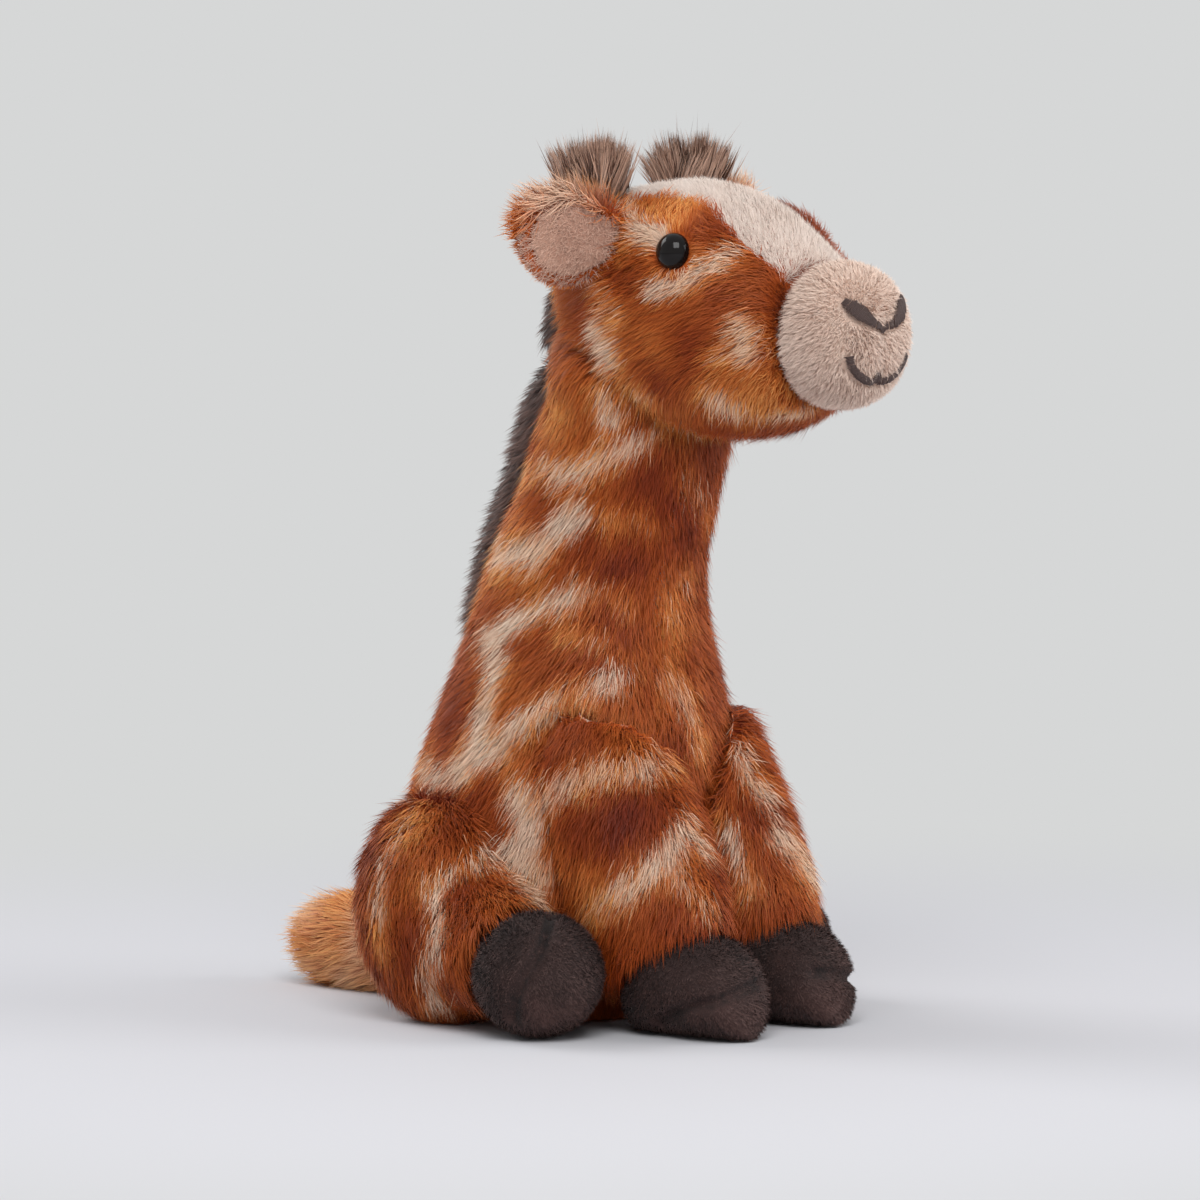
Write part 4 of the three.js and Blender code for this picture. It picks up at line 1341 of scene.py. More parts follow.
class Toy:
    """What every sub-assembly works with: the pattern, the skins, the neighbours and the grower."""

    seed = 2024
    shortest = 0.35

    def __init__(self, view: PhotoView) -> None:
        """Reads the pattern off the photograph's view of the solids."""
        self.view = view
        self.pattern = CoatPattern(view, self.others(), *CAD_BOX)
        self.workshop = Workshop()
        self.grower = PileGrower(self.seed)
        self.straying = Waves(31, 14)

    @staticmethod
    def others(*own: str) -> BVHTree:
        """The solids apart from a piece's own, which cover what lies under them."""
        return tree_of(*(node.data for name, node in frame["nodes"].items() if name not in own))

    @staticmethod
    def leaning(roots: Points, others: BVHTree, way: Points) -> Points:
        """How strands beside another piece lean over the seam to it, where their nap runs that way.

        Args:
            roots: The roots.
            others: The other pieces' faces.
            way: The strands' nap.

        Returns:
            A way for each root, of length 1 at the seam and 0 away from it.
        """
        lean = np.zeros_like(roots)
        for number, root in enumerate(roots.tolist()):
            place, _, _, far = others.find_nearest(root, SEAM_REACH)
            if place is not None and far > 0:
                lean[number] = (place - Vector(root)) / far * (1 - far / SEAM_REACH)
        return lean * smooth(-0.3, 0.3, (unit(lean) * unit(way)).sum(axis=1))[:, None]

    def colours(
        self, places: Points, facing: Points, tone: Field | None, pale: Field | None = None
    ) -> tuple[Points, Points]:
        """The colours of a fabric.

        Args:
            places: Places on it.
            facing: The normals there.
            tone: The tone of a plain fabric, or nothing for the coat's pattern.
            pale: How pale a plain fabric is, or nothing.

        Returns:
            How pale each place is, and its tone.
        """
        if tone is None:
            return self.pattern.read(places, facing)
        return pale(places, facing) if pale else np.zeros(len(places)), np.clip(tone(places, facing), 0, 1)

    def clothe(self, name: str, finish: Finish, tone: Field | None = None) -> None:
        """Finishes a skin: its colours, material and body, and hides the solids that it stands for.

        Args:
            name: The skin's name.
            finish: What it is dressed in.
            tone: The tone of a plain fabric, or nothing for the coat's pattern.
        """
        piece, skin = self.workshop.skins[name], self.workshop.specs[name]
        pale, shade = self.colours(coordinates(piece.data), normals(piece.data), tone)
        carry(piece.data, pale=pale, tone=shade)
        choose(piece)
        bpy.ops.object.shade_smooth()
        dress(piece, finish.cloth, skin.body, skin.fabric, skin.bends)
        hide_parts(*skin.nodes)

    def grow(
        self,
        name: str,
        skin: str,
        pile: Pile,
        nap: Field,
        finish: Finish,
        own: tuple[str, ...] = (),
        keep: Field | None = None,
        length: Field | None = None,
        tone: Field | None = None,
        pale: Field | None = None,
        cover: float = COVER,
    ) -> None:
        """Grows a pile on a skin and dresses its pieces.

        Args:
            name: The pile's name.
            skin: The skin's name.
            pile: How the strands stand.
            nap: The way that they lie.
            finish: What they are dressed in.
            own: Solids that don't cover this skin.
            keep: The share of roots to keep, from 0 to 1.
            length: The share of the pile's length.
            tone: The tone of a plain fabric, or nothing for the coat's pattern.
            pale: How pale a plain fabric is, or nothing.
            cover: How far off its solid another solid still covers the skin, in millimetres.
        """
        grower, spec = self.grower, self.workshop.specs[skin]
        roots, facing = grower.scatter(self.workshop.skins[skin], pile.density)
        own = (*spec.nodes, *spec.joined, *own)
        fixed = frame["record"]["behaviour"]["bodies"][spec.body]
        moving = (node for node in frame["nodes"] if node not in fixed)
        others = self.others(*own)
        kept = grower.uncovered(roots, facing, self.others(*own, *moving), spec.inset + cover)
        if keep is not None:
            kept &= keep(roots, facing) > grower.rng.random(len(roots))
        roots, facing = roots[kept], facing[kept]
        way = nap(roots, facing) + self.straying.vectors(roots) * pile.stray
        lean = self.leaning(roots, others, way)
        way = way + lean * SEAM_LEAN
        reach = pile.length * MM * np.maximum(grower.rng.normal(1, pile.spread, len(roots)), self.shortest)
        reach = reach * (1 + SEAM_EXTRA * np.linalg.norm(lean, axis=1))
        if pile.bent:
            reach[~grower.uncovered(roots, facing, others, spec.inset + cover)] *= PRESSED
        if length is not None:
            reach = reach * length(roots, facing)
        spots = roots
        if tone is None:
            flat = unit(way - (way * facing).sum(axis=1, keepdims=True) * facing)
            shown = grower.rng.uniform(*SHOWN_SHARE, (len(roots), 1))
            spots = roots + flat * reach[:, None] * shown + grower.rng.normal(0, MIXED, roots.shape)
        growth = Growth(roots, facing, way, reach, *self.colours(spots, facing, tone, pale))
        for piece in grower.mesh(name, growth, pile):
            dress(piece, finish.strands, spec.body, spec.fabric, spec.bends)


@dataclass
class Part:
    """A sub-assembly: its skins are cut and stuffed first, and its pieces are made on them after that."""

    toy: Toy

    def skins(self) -> list[Skin]:
        """The skins to cut. A part has none unless it says so."""
        return []

    def build(self) -> None:
        """Makes the part's pieces."""
        raise NotImplementedError


@dataclass
class Torso(Part):
    """Seat, chest and neck, with the mane of the neck."""

    nap: tuple[float, float, float] = (0, 0.42, -1)

    def skins(self) -> list[Skin]:
        """The torso's cloth and the strip of the neck's mane."""
        return [
            Skin("torso_cloth", ("torso_skin",), "torso", Fabric.COAT, 4, 2.4, 1.8, 0.6, ("torso_filling",)),
            Skin("mane_neck_strip", ("mane_neck",), "torso", Fabric.BROWN_PILE, 1.6, 1.2, bends=True),
        ]

    def build(self) -> None:
        """Grows the coat and the mane."""
        own = ("pellet_bag", "mane_neck")
        self.toy.grow("torso_coat", "torso_cloth", COAT_PILE, constant(*self.nap), COAT, own)
        self.toy.clothe("torso_cloth", COAT)
        Mane(self.toy, "mane_neck", 1.0, -0.35).build()


@dataclass
class Mane(Part):
    """One length of the brown mane, a strip whose strands stand off the back of the neck. Their length is a
    share of the pile's, with more of it where the two lengths meet."""

    node: str
    share: float
    more: float
    joint: float = 216
    reach: float = 16
    waves: Waves = field(default_factory=lambda: Waves(41, 6))

    def by_joint(self, points: Points) -> Points:
        """How near points are to where the mane's two lengths meet, from 0 to 1."""
        return smooth(self.reach, 2, np.abs(points[:, 2] / MM - self.joint))

    def nap(self, points: Points, facing: Points) -> Points:
        """The strands fan out from the strip's foot and lean down, most where the two lengths meet."""
        near = self.by_joint(points)[:, None]
        return facing * 0.3 * (1 - near) + np.array([-0.25, 0.55, -0.75]) + near * [0, -0.3, -1.4]

    def length(self, points: Points, facing: Points) -> Points:
        """The share of the pile's length."""
        return self.share + self.more * self.by_joint(points)

    def tone(self, points: Points, facing: Points) -> Points:
        """Brown in soft waves."""
        return 0.4 + self.waves(points) * 0.35

    def build(self) -> None:
        """Grows the strands."""
        skin = self.node + "_strip"
        self.toy.grow(
            self.node + "_pile", skin, MANE_PILE, self.nap, MANE, length=self.length, tone=self.tone
        )
        self.toy.clothe(skin, MANE, self.tone)


@dataclass
class Head(Part):
    """Cheeks, jaw and brow in the coat, and a short cream blaze between the eyes. Sizes in millimetres."""

    blaze_stations: tuple[float, ...] = (-97, -92, -78, -66, -48, -30, -10)
    blaze_halves: tuple[float, ...] = (14, 16, 19, 19.5, 19.5, 20, 16)
    blaze_floor: float = 236
    blaze_edge: float = 1.2
    ragged: float = 1.6
    cover: float = -1.6
    eye_depth: float = 4
    eye_side: float = 20
    eye_clear: float = 4.8
    eye_short: float = 20
    waves: Waves = field(default_factory=lambda: Waves(51, 9))

    def skins(self) -> list[Skin]:
        """The cloth of the head and of the muzzle, and the strip of the nape's mane."""
        washers = ("eye_washer_left", "eye_washer_right")
        filling = ("head_filling",)
        return [
            Skin("head_cloth", ("head_skin",), "head", Fabric.COAT, 4, 2.4, 1.8, 0.7, filling, washers),
            Skin("muzzle_cloth", ("muzzle",), "head", Fabric.MINKY, 3, 1.3, 1.0, 0.8),
            Skin("mane_nape_strip", ("mane_nape",), "head", Fabric.BROWN_PILE, 1.6, 1.2, bends=True),
        ]

    def blaze(self, points: Points, facing: Points) -> Points:
        """How much of the blaze there is at points, from 0 to 1."""
        x, y, z = points.T / MM
        ragged = self.toy.pattern.edge_waves(points) * self.ragged
        half = np.interp(y, self.blaze_stations, self.blaze_halves) + ragged
        above = smooth(self.blaze_floor - 3, self.blaze_floor, z)
        return smooth(half + self.blaze_edge, half - self.blaze_edge, np.abs(x)) * above

    def blaze_tone(self, points: Points, facing: Points) -> Points:
        """Cream in soft waves."""
        return 0.55 + self.waves(points) * 0.35

    def eye_far(self, points: Points) -> tuple[Points, Points]:
        """How far points are from the nearer eye's middle, and the way from it."""
        middle = middle_of("eye_left")
        middle[0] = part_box("eye_left")[1].x - self.eye_depth * MM
        sides = np.sign(points[:, :1])
        way = points - middle * np.hstack([sides, np.ones_like(sides), np.ones_like(sides)])
        far = np.linalg.norm(way[:, 1:], axis=1) / MM
        return np.where(np.abs(points[:, 0]) > self.eye_side * MM, far, np.inf), unit(way)

    def nap(self, points: Points, facing: Points) -> Points:
        """The coat lies back and down, parts round the eyes and hangs under the jaw."""
        y, z = points[:, 1] / MM, points[:, 2] / MM
        way = np.tile(np.array([0, 1, -0.55]), (len(points), 1))
        jaw = smooth(222, 204, z)[:, None]
        way = way * (1 - jaw) + np.array([0, 0.25, -1.0]) * jaw
        crown = (smooth(252, 266, z) * smooth(-75, -60, y))[:, None]
        way = way * (1 - crown) + np.array([0, -0.15, 1.0]) * crown
        at_seam = smooth(-84, -91, y)[:, None]
        out = (points - [0, 0, middle_of("muzzle")[2]]) * np.array([1, 0, 1])
        way = way * (1 - at_seam) + (unit(out) + np.array([0, -0.45, 0])) * at_seam
        far, away = self.eye_far(points)
        near = smooth(12, 6, far)[:, None]
        return way * (1 - near) + away * 1.4 * near

    def coated(self, points: Points, facing: Points) -> Points:
        """Where the coat grows: off the blaze and clear of the eyes."""
        return (1 - self.blaze(points, facing)) * (self.eye_far(points)[0] > self.eye_clear)

    def length(self, points: Points, facing: Points) -> Points:
        """The share of the coat's length: less round the eyes, beside the muzzle and on the crown."""
        y, z = points[:, 1] / MM, points[:, 2] / MM
        by_eye = 0.46 + 0.54 * smooth(6, self.eye_short, self.eye_far(points)[0])
        by_muzzle = 0.62 + 0.38 * smooth(-93, -72, y)
        on_crown = 1 - 0.5 * smooth(254, 264, z) * smooth(-70, -45, y)
        return 0.95 * by_eye * by_muzzle * on_crown

    def build(self) -> None:
        """Grows the coat, the blaze, the muzzle's pile and the mane of the nape."""
        toy, own = self.toy, ("mane_nape",)
        toy.grow(
            "head_coat", "head_cloth", COAT_PILE, self.nap, COAT, own,
            keep=self.coated, length=self.length, cover=self.cover,
        )
        toy.grow(
            "blaze_pile", "head_cloth", BLAZE_PILE, constant(0, 1, 0.1), BLAZE, own,
            keep=self.blaze, tone=self.blaze_tone,
        )
        toy.clothe("head_cloth", COAT)
        Muzzle(toy).build()
        Mane(toy, "mane_nape", 0.7, 0.4).build()


@dataclass
class Muzzle(Part):
    """The short-pile ball of nose and mouth, with its embroidery. Widths are in millimetres."""

    nostril: tuple[float, ...] = (3.0, 6.0, 6.0, 3.3, 1.8, 1.8)
    mouth: tuple[float, ...] = (3.335, 2.9, 2.9, 2.9, 2.61, 2.32, 2.175)
    crease_half: float = 4.5
    crease_depth: float = 1.3
    waves: Waves = field(default_factory=lambda: Waves(61, 8))

    def build(self) -> None:
        """Presses the crease, grows the pile and sews the nostrils and the mouth."""
        toy, skin = self.toy, "muzzle_cloth"
        mesh = toy.workshop.skins[skin].data
        self._press_crease(mesh)
        surface = tree_of(mesh)
        lines = self._lines(surface)
        toy.grow(
            "muzzle_pile", skin, MUZZLE_PILE, self.nap, MINKY,
            ("mouth_stitch", "nostril_left", "nostril_right"), keep=self._bare(lines), tone=self.tone,
        )
        toy.clothe(skin, MINKY, self.tone)
        Embroidery(toy, surface).sew(lines)

    def nap(self, points: Points, facing: Points) -> Points:
        """The pile fans out from the nose and lies back over the muzzle."""
        x = points[:, 0] / MM
        return np.stack([x * 0.03, np.full(len(x), 0.8), np.full(len(x), -0.55)], axis=1)

    def tone(self, points: Points, facing: Points) -> Points:
        """Beige in soft waves, with painted light that makes it lighter on top."""
        # The last term is painted light: pile that faces up is lighter.
        return 0.55 + self.waves(points) * 0.35 + 0.15 * facing[:, 2]

    def _press_crease(self, mesh: bpy.types.Mesh) -> None:
        """Presses the upright crease between the nose and the mouth into the ball's front."""
        places, facing = coordinates(mesh), normals(mesh)
        x, y, z = places.T / MM
        upright = smooth(206, 212, z) * smooth(234, 229, z)
        depth = smooth(self.crease_half, 0, np.abs(x)) * upright * smooth(-104, -110, y)
        set_coordinates(mesh, places - facing * (depth * self.crease_depth * MM)[:, None])

    def _lines(self, surface: BVHTree) -> dict[str, Line]:
        """The stitched lines on the ball as places and widths, for each piece.

        Args:
            surface: The ball's faces.

        Returns:
            The lines by piece name.
        """
        view, sides = self.toy.view, []
        for trace, widths in ((NOSTRIL, self.nostril), (MOUTH, self.mouth)):
            right = []
            for pixel, width in zip(trace, widths):
                place = surface.ray_cast(view.eye, view.ray(*pixel))[0]
                if place is None:
                    raise ValueError(f"pixel {pixel} misses the muzzle")
                right.append((np.array(place), width * MM))
            right[-1][0][0] = 0
            sides.append((right, [(place * CoatPattern.mirror, width) for place, width in right]))
        (right, left), (mouth, mirrored) = sides
        return {"nostril_right": right, "nostril_left": left, "mouth_stitch": mouth + mirrored[-2::-1]}

    @staticmethod
    def _bare(lines: dict[str, Line]) -> Field:
        """Where the pile is left out for the stitches."""
        stretches = [pair for line in lines.values() for pair in zip(line, line[1:])]
        bare_share = 0.55

        def keep(points: Points, facing: Points) -> Points:
            """1 where the pile grows and 0 under the stitches."""
            kept = np.ones(len(points))
            for (start, first), (end, second) in stretches:
                share, off = off_line(points, start, end)
                width = first + (second - first) * share
                kept *= np.linalg.norm(off, axis=1) > width * bare_share
            return kept

        return keep


@dataclass
class Embroidery:
    """Satin stitches sewn side by side across a line. Sizes are in millimetres."""

    toy: Toy
    surface: BVHTree
    pitch: float = 0.46
    thread: float = 0.26
    rise: float = 1.5
    arch: float = 0.35
    slant: float = 0.25

    def _stitch(self) -> tuple[Points, list[list[int]]]:
        """Models one stitch: a thread of unit length along X, with its ends drawn in.

        Returns:
            Its points and its faces.
        """
        deselect()
        bpy.ops.mesh.primitive_cylinder_add(vertices=6, radius=1, depth=0.5, rotation=(0, math.pi / 2, 0))
        piece = bpy.context.object
        bpy.ops.object.transform_apply(location=False, rotation=True, scale=False)
        for end in (-1, 1):
            caps = [face.normal.x * end > 0.9 for face in piece.data.polygons]
            with editing(piece, caps, "FACE"):
                for step, size in ((0.17, 0.85), (0.08, 0.4)):
                    bpy.ops.mesh.extrude_region_move(TRANSFORM_OT_translate={"value": (step * end, 0, 0)})
                    bpy.ops.transform.resize(value=(1, size, size))
        places = coordinates(piece.data)
        faces = [list(face.vertices) for face in piece.data.polygons]
        bpy.data.objects.remove(piece)
        return places, faces

    def sew(self, lines: dict[str, Line]) -> None:
        """Sews each line as its own piece.

        Args:
            lines: Places and widths of each line, by the name of the solid that it stands for.
        """
        model, faces = self._stitch()
        arch = (1 - 4 * model[:, :1] ** 2) * self.arch * MM
        thread = self.thread * MM
        for name, line in lines.items():
            places, loops = [], []
            for middle, ahead, width in self._steps(line):
                spot, out, *_ = self.surface.find_nearest(middle)
                outward = np.array(out)
                middle = np.array(spot) + outward * self.rise * MM
                across = unit(np.cross(outward, ahead) + ahead * self.slant)
                lean = unit(np.cross(across, outward))
                body = middle + across * model[:, :1] * width + lean * model[:, 1:2] * thread
                loops += [[len(places) * len(model) + i for i in face] for face in faces]
                places.append(body + outward * (model[:, 2:] * thread + arch))
            mesh = bpy.data.meshes.new(name + "_threads")
            mesh.from_pydata(np.concatenate(places).tolist(), [], loops)
            piece = add_object(mesh.name, mesh)
            with editing(piece):
                bpy.ops.mesh.normals_make_consistent(inside=False)
            bpy.ops.object.shade_smooth()
            dress(piece, THREAD.dyed, "head", Fabric.THREAD)
            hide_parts(name)

    def _steps(self, line: Line) -> list[tuple[Points, Points, float]]:
        """Steps along a line at the stitches' pitch.

        Args:
            line: Places and widths.

        Returns:
            The middle, the way ahead and the width of each stitch.
        """
        places = np.array([place for place, _ in line])
        widths = np.array([width for _, width in line])
        gaps = np.linalg.norm(np.diff(places, axis=0), axis=1)
        run = np.concatenate([[0], np.cumsum(gaps)])
        stops = np.arange(0, run[-1], self.pitch * MM)
        spots = np.stack([np.interp(stops, run, places[:, i]) for i in range(3)], axis=1)
        ahead = unit(np.gradient(spots, axis=0))
        jitter = self.toy.grower.rng.uniform(0.9, 1.12, len(stops))
        return list(zip(spots, ahead, np.interp(stops, run, widths) * jitter))


@dataclass
class Eyes(Part):
    """Two domed safety eyes, each on a ribbed shank. Sizes are in millimetres."""

    radius: float = 6
    dome: float = 5.2
    rim: float = 0.5
    sunk: float = 0.7
    shank_radius: float = 2.2
    rib: float = 1.15
    ribs: int = 8
    rib_pitch: float = 1.3
    rib_slope: float = 0.35
    drawn_in: float = 0.94

    def build(self) -> None:
        """Models one eye, copies it and sets both in their places."""
        model = self._model()
        for side in Side:
            node = f"eye_{side.label}"
            piece = add_object(node + "_dome", model.data.copy())
            piece.data.transform(self._place(node, side))
            choose(piece)
            bpy.ops.object.shade_smooth()
            dress(piece, EYE.dyed, "head", Fabric.EYE)
            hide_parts(node)
        bpy.data.objects.remove(model)

    def _model(self) -> bpy.types.Object:
        """Models an eye that looks along +Z, with the middle of its rim at the origin."""
        deselect()
        bpy.ops.mesh.primitive_uv_sphere_add(segments=48, ring_count=32, radius=self.radius * MM)
        piece = bpy.context.object
        steps = [(self.rim, self.drawn_in), (0.0, self.shank_radius / (self.radius * self.drawn_in))]
        for _ in range(self.ribs):
            steps += [
                (self.rib_slope, self.rib),
                (self.rib_pitch - 2 * self.rib_slope, 1.0),
                (self.rib_slope, 1 / self.rib),
            ]
        with editing(piece):
            bpy.ops.mesh.bisect(plane_co=(0, 0, 0.01 * MM), plane_no=(0, 0, 1), clear_inner=True)
            bpy.ops.mesh.select_all(action="SELECT")
            bpy.ops.transform.resize(value=(1, 1, self.dome / self.radius))
            bpy.ops.mesh.region_to_loop()
            for drop, size in steps:
                bpy.ops.mesh.extrude_region_move(TRANSFORM_OT_translate={"value": (0, 0, -drop * MM)})
                bpy.ops.transform.resize(value=(size, size, 1))
            bpy.ops.mesh.edge_face_add()
            bpy.ops.mesh.select_all(action="SELECT")
            bpy.ops.mesh.remove_doubles(threshold=0.001 * MM)
            bpy.ops.mesh.normals_make_consistent(inside=False)
        return piece

    def _place(self, node: str, side: Side) -> Matrix:
        """Where an eye goes, read from its solid's own axis and ends.

        Args:
            node: The solid's name.
            side: The eye's side.

        Returns:
            The matrix from the model to its place.
        """
        places = coordinates(frame["nodes"][node].data)
        middle = places.mean(axis=0)
        _, ways = np.linalg.eigh(np.cov((places - middle).T))
        axis = ways[:, 2] * (1 if ways[0, 2] * side.value > 0 else -1)
        front = middle + axis * ((places - middle) @ axis).max()
        turn = Vector(axis).to_track_quat("Z", "Y").to_matrix().to_4x4()
        return Matrix.Translation(Vector(front - axis * (self.dome + self.sunk) * MM)) @ turn


@dataclass
class Ear(Part):
    """An ear in the coat with a short-pile lining, whose pile also covers the front of its rim."""

    side: Side
    waves: Waves = field(default_factory=lambda: Waves(71, 6))

    def __post_init__(self) -> None:
        """Reads from the solids where the ear starts and ends, and which way it faces."""
        self.node, self.lining = f"ear_{self.side.label}", f"ear_lining_{self.side.label}"
        low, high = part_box(self.node)
        self.foot, self.top = low.z / MM, high.z / MM
        inner = min(abs(low.x), abs(high.x)) * self.side.value
        self.root = np.array([inner, high.y - 8 * MM, (low.z + high.z) / 2])
        self.front = unit(middle_of(self.lining) - middle_of(self.node))

    def skins(self) -> list[Skin]:
        """The cloth of the ear and of its lining."""
        body = self.node + "_flap"
        return [
            Skin(self.node + "_cloth", (self.node,), body, Fabric.COAT, 1.2, 0.6, 0, 0.3),
            Skin(self.lining + "_cloth", (self.lining,), body, Fabric.EAR_PLUSH, 0.8, 0.3),
        ]

    def nap(self, points: Points, facing: Points) -> Points:
        """The pile fans out from the ear's root."""
        return unit(points - self.root) + facing * 0.4

    def tone(self, points: Points, facing: Points) -> Points:
        """The coat's orange, in soft waves."""
        return 0.86 + self.waves(points) * 0.25

    def tips(self, points: Points, facing: Points) -> Points:
        """How pale the coat is, which is most at the ear's tip."""
        return smooth(self.top - 9, self.top - 1, points[:, 2] / MM) * 0.75

    def fringe(self, points: Points, facing: Points) -> Points:
        """The share of the coat's length, which grows up the ear and is less in front."""
        up = smooth(self.foot + 6, self.top - 7, points[:, 2] / MM)
        return np.maximum(0.14 + up, (0.3 + 0.5 * up) * smooth(0.2, -0.3, facing @ self.front))

    def rim(self, points: Points, facing: Points) -> Points:
        """Where the lining's pile covers the ear's own cloth: in front, below the tip."""
        return smooth(self.top - 9, self.top - 13, points[:, 2] / MM) * smooth(-0.2, 0.1, facing @ self.front)

    def coated(self, points: Points, facing: Points) -> Points:
        """Where the coat grows: off the rim."""
        return 1 - self.rim(points, facing)

    def shade(self, points: Points, facing: Points) -> Points:
        """The lining's tone, in soft waves, with painted shade that is darkest at the ear's root."""
        # Painted shade: the lining darkens towards the ear's root, inside its hollow.
        return 0.15 + 35 * np.linalg.norm(points - self.root, axis=1) + self.waves(points) * 0.2

    def build(self) -> None:
        """Grows the coat and the pile of the lining."""
        toy, node, lining = self.toy, self.node, self.lining
        skin = node + "_cloth"
        toy.grow(
            node + "_coat", skin, EAR_PILE, self.nap, COAT,
            keep=self.coated, length=self.fringe, tone=self.tone, pale=self.tips,
        )
        toy.grow(lining + "_pile", lining + "_cloth", LINING_PILE, self.nap, LINING, tone=self.shade)
        toy.grow(lining + "_rim", skin, LINING_PILE, self.nap, LINING, keep=self.rim, tone=self.shade)
        toy.clothe(skin, COAT, self.tone)
        toy.clothe(lining + "_cloth", LINING, self.shade)


@dataclass
class Tufts(Part):
    """Two tufts of coarse fibre on the crown, rooted in the head's seam. Sizes are in millimetres."""

    strands: int = 3000
    strays: int = 30
    length: float = 27
    foot: float = 0.4
    fan: float = 0.5
    uneven: float = 0.06
    brushes: Waves = field(default_factory=lambda: Waves(101, 2.6))

    def build(self) -> None:
        """Draws the fibres of both tufts out of their feet in a fan."""
        grower, count = self.toy.grower, self.strands + self.strays
        rng = grower.rng
        for side in Side:
            node = f"tuft_{side.label}"
            low, high = (np.array(corner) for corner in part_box(node))
            spread = rng.uniform(-1, 1, (count, 2))
            shares = np.column_stack([spread * self.foot, np.full(count, -0.95)])
            roots = (low + high) / 2 + shares * (high - low) / 2
            fan = np.column_stack([spread * self.fan, np.ones(count)]) + self.brushes.vectors(roots) * 0.5
            way = unit(fan + rng.normal(0, self.uneven, (count, 3)))
            reach = self.length * MM * (1 - 0.15 * np.abs(spread[:, 0]) ** 1.5)
            reach = reach * np.maximum(rng.normal(1, self.uneven, count), 0.6)
            reach[-self.strays :] *= 1.2
            nap, tone = rng.normal(0, 1, (count, 3)), rng.uniform(0.3, 1, count)
            growth = Growth(roots, way, nap, reach, np.zeros(count), tone)
            for piece in grower.mesh(node + "_fibres", growth, TUFT_PILE):
                dress(piece, COARSE.strands, "head", Fabric.BROWN_PILE)
                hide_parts(node)


@dataclass
class Limb(Part):
    """A leg in the coat with its short-pile hoof or foot. Sizes are in millimetres."""

    side: Side
    leg: str
    end: str
    body: str
    way: tuple[float, float, float]
    trace: Trace
    seam_depth: float = 2.3
    seam_half: float = 3.4
    waves: Waves = field(default_factory=lambda: Waves(81, 7))
    seam: Points = field(init=False)

    def __post_init__(self) -> None:
        """Adds the side to the names."""
        label = self.side.label
        self.leg, self.end, self.body = f"{self.leg}_{label}", f"{self.end}_{label}", f"{self.body}_{label}"

    def skins(self) -> list[Skin]:
        """The cloth of the leg and of its end."""
        return [
            Skin(self.leg + "_cloth", (self.leg,), self.body, Fabric.COAT, 3.5, 2.2, 1.6, 0.7),
            Skin(self.end + "_cloth", (self.end,), self.body, Fabric.BROWN_PLUSH, 2.6, 1.0, 0.8, 0.9),
        ]

    def build(self) -> None:
        """Grows the coat of the leg and the pile of its end, parted along the seam."""
        toy, leg, end = self.toy, self.leg + "_cloth", self.end + "_cloth"
        toy.grow(self.leg + "_coat", leg, COAT_PILE, self.lie, COAT)
        toy.clothe(leg, COAT)
        mesh = toy.workshop.skins[end].data
        self.seam = self._traced(tree_of(mesh))
        places, facing = coordinates(mesh), normals(mesh)
        depth = smooth(self.seam_half, 0, self._off(places)[0]) * self.seam_depth * MM
        set_coordinates(mesh, places - facing * depth[:, None])
        toy.grow(
            self.end + "_pile", end, HOOF_PILE, self.nap, HOOF,
            keep=self.parted, length=self.length, tone=self.tone,
        )
        toy.clothe(end, HOOF, self.tone)

    def lie(self, points: Points, facing: Points) -> Points:
        """The nap of the leg's coat, mirrored on the other side."""
        return np.broadcast_to(unit(np.array(self.way)) * [self.side.value, 1, 1], points.shape)

    def nap(self, points: Points, facing: Points) -> Points:
        """The end's pile lies forward and down, and parts along the seam."""
        off, away = self._off(points)
        return np.array([0, -0.6, -0.8]) + away * (smooth(5, 1.5, off) * 1.6)[:, None]

    def parted(self, points: Points, facing: Points) -> Points:
        """Where the end's pile grows: beside the seam's line."""
        return smooth(0.9, 1.3, self._off(points)[0])

    def length(self, points: Points, facing: Points) -> Points:
        """The share of the end's pile, which is short by the seam."""
        return 0.35 + 0.65 * smooth(1, 4, self._off(points)[0])

    def tone(self, points: Points, facing: Points) -> Points:
        """Mid brown, lighter to the front and low down, with painted shade darkening the seam's groove."""
        low = smooth(19, 8, points[:, 2] / MM) * smooth(0.2, -0.6, facing[:, 1])
        # Painted shade: the pile and cloth darken in the pressed seam's groove.
        seam_painted_shade = smooth(2.2, 1.2, self._off(points)[0])
        return 0.3 + self.waves(points) * 0.22 + 0.45 * low - 0.9 * seam_painted_shade

    def _traced(self, surface: BVHTree) -> Points:
        """The traced seam on the near limb's end, or its mirror image on the far one's.

        Args:
            surface: The end's faces.

        Returns:
            Places along the seam.
        """
        view, swap = self.toy.view, Vector((-self.side.value, 1, 1))
        hits = (surface.ray_cast(view.eye * swap, view.ray(*pixel) * swap)[0] for pixel in halved(self.trace))
        return np.array([place for place in hits if place is not None])

    def _off(self, points: Points) -> tuple[Points, Points]:
        """How far points are from the seam, and the way from it."""
        nearest = np.full_like(points, 1.0)
        for start, end in zip(self.seam, self.seam[1:]):
            off = off_line(points, start, end)[1]
            closer = (off * off).sum(axis=1) < (nearest * nearest).sum(axis=1)
            nearest[closer] = off[closer]
        return np.linalg.norm(nearest, axis=1) / MM, unit(nearest)


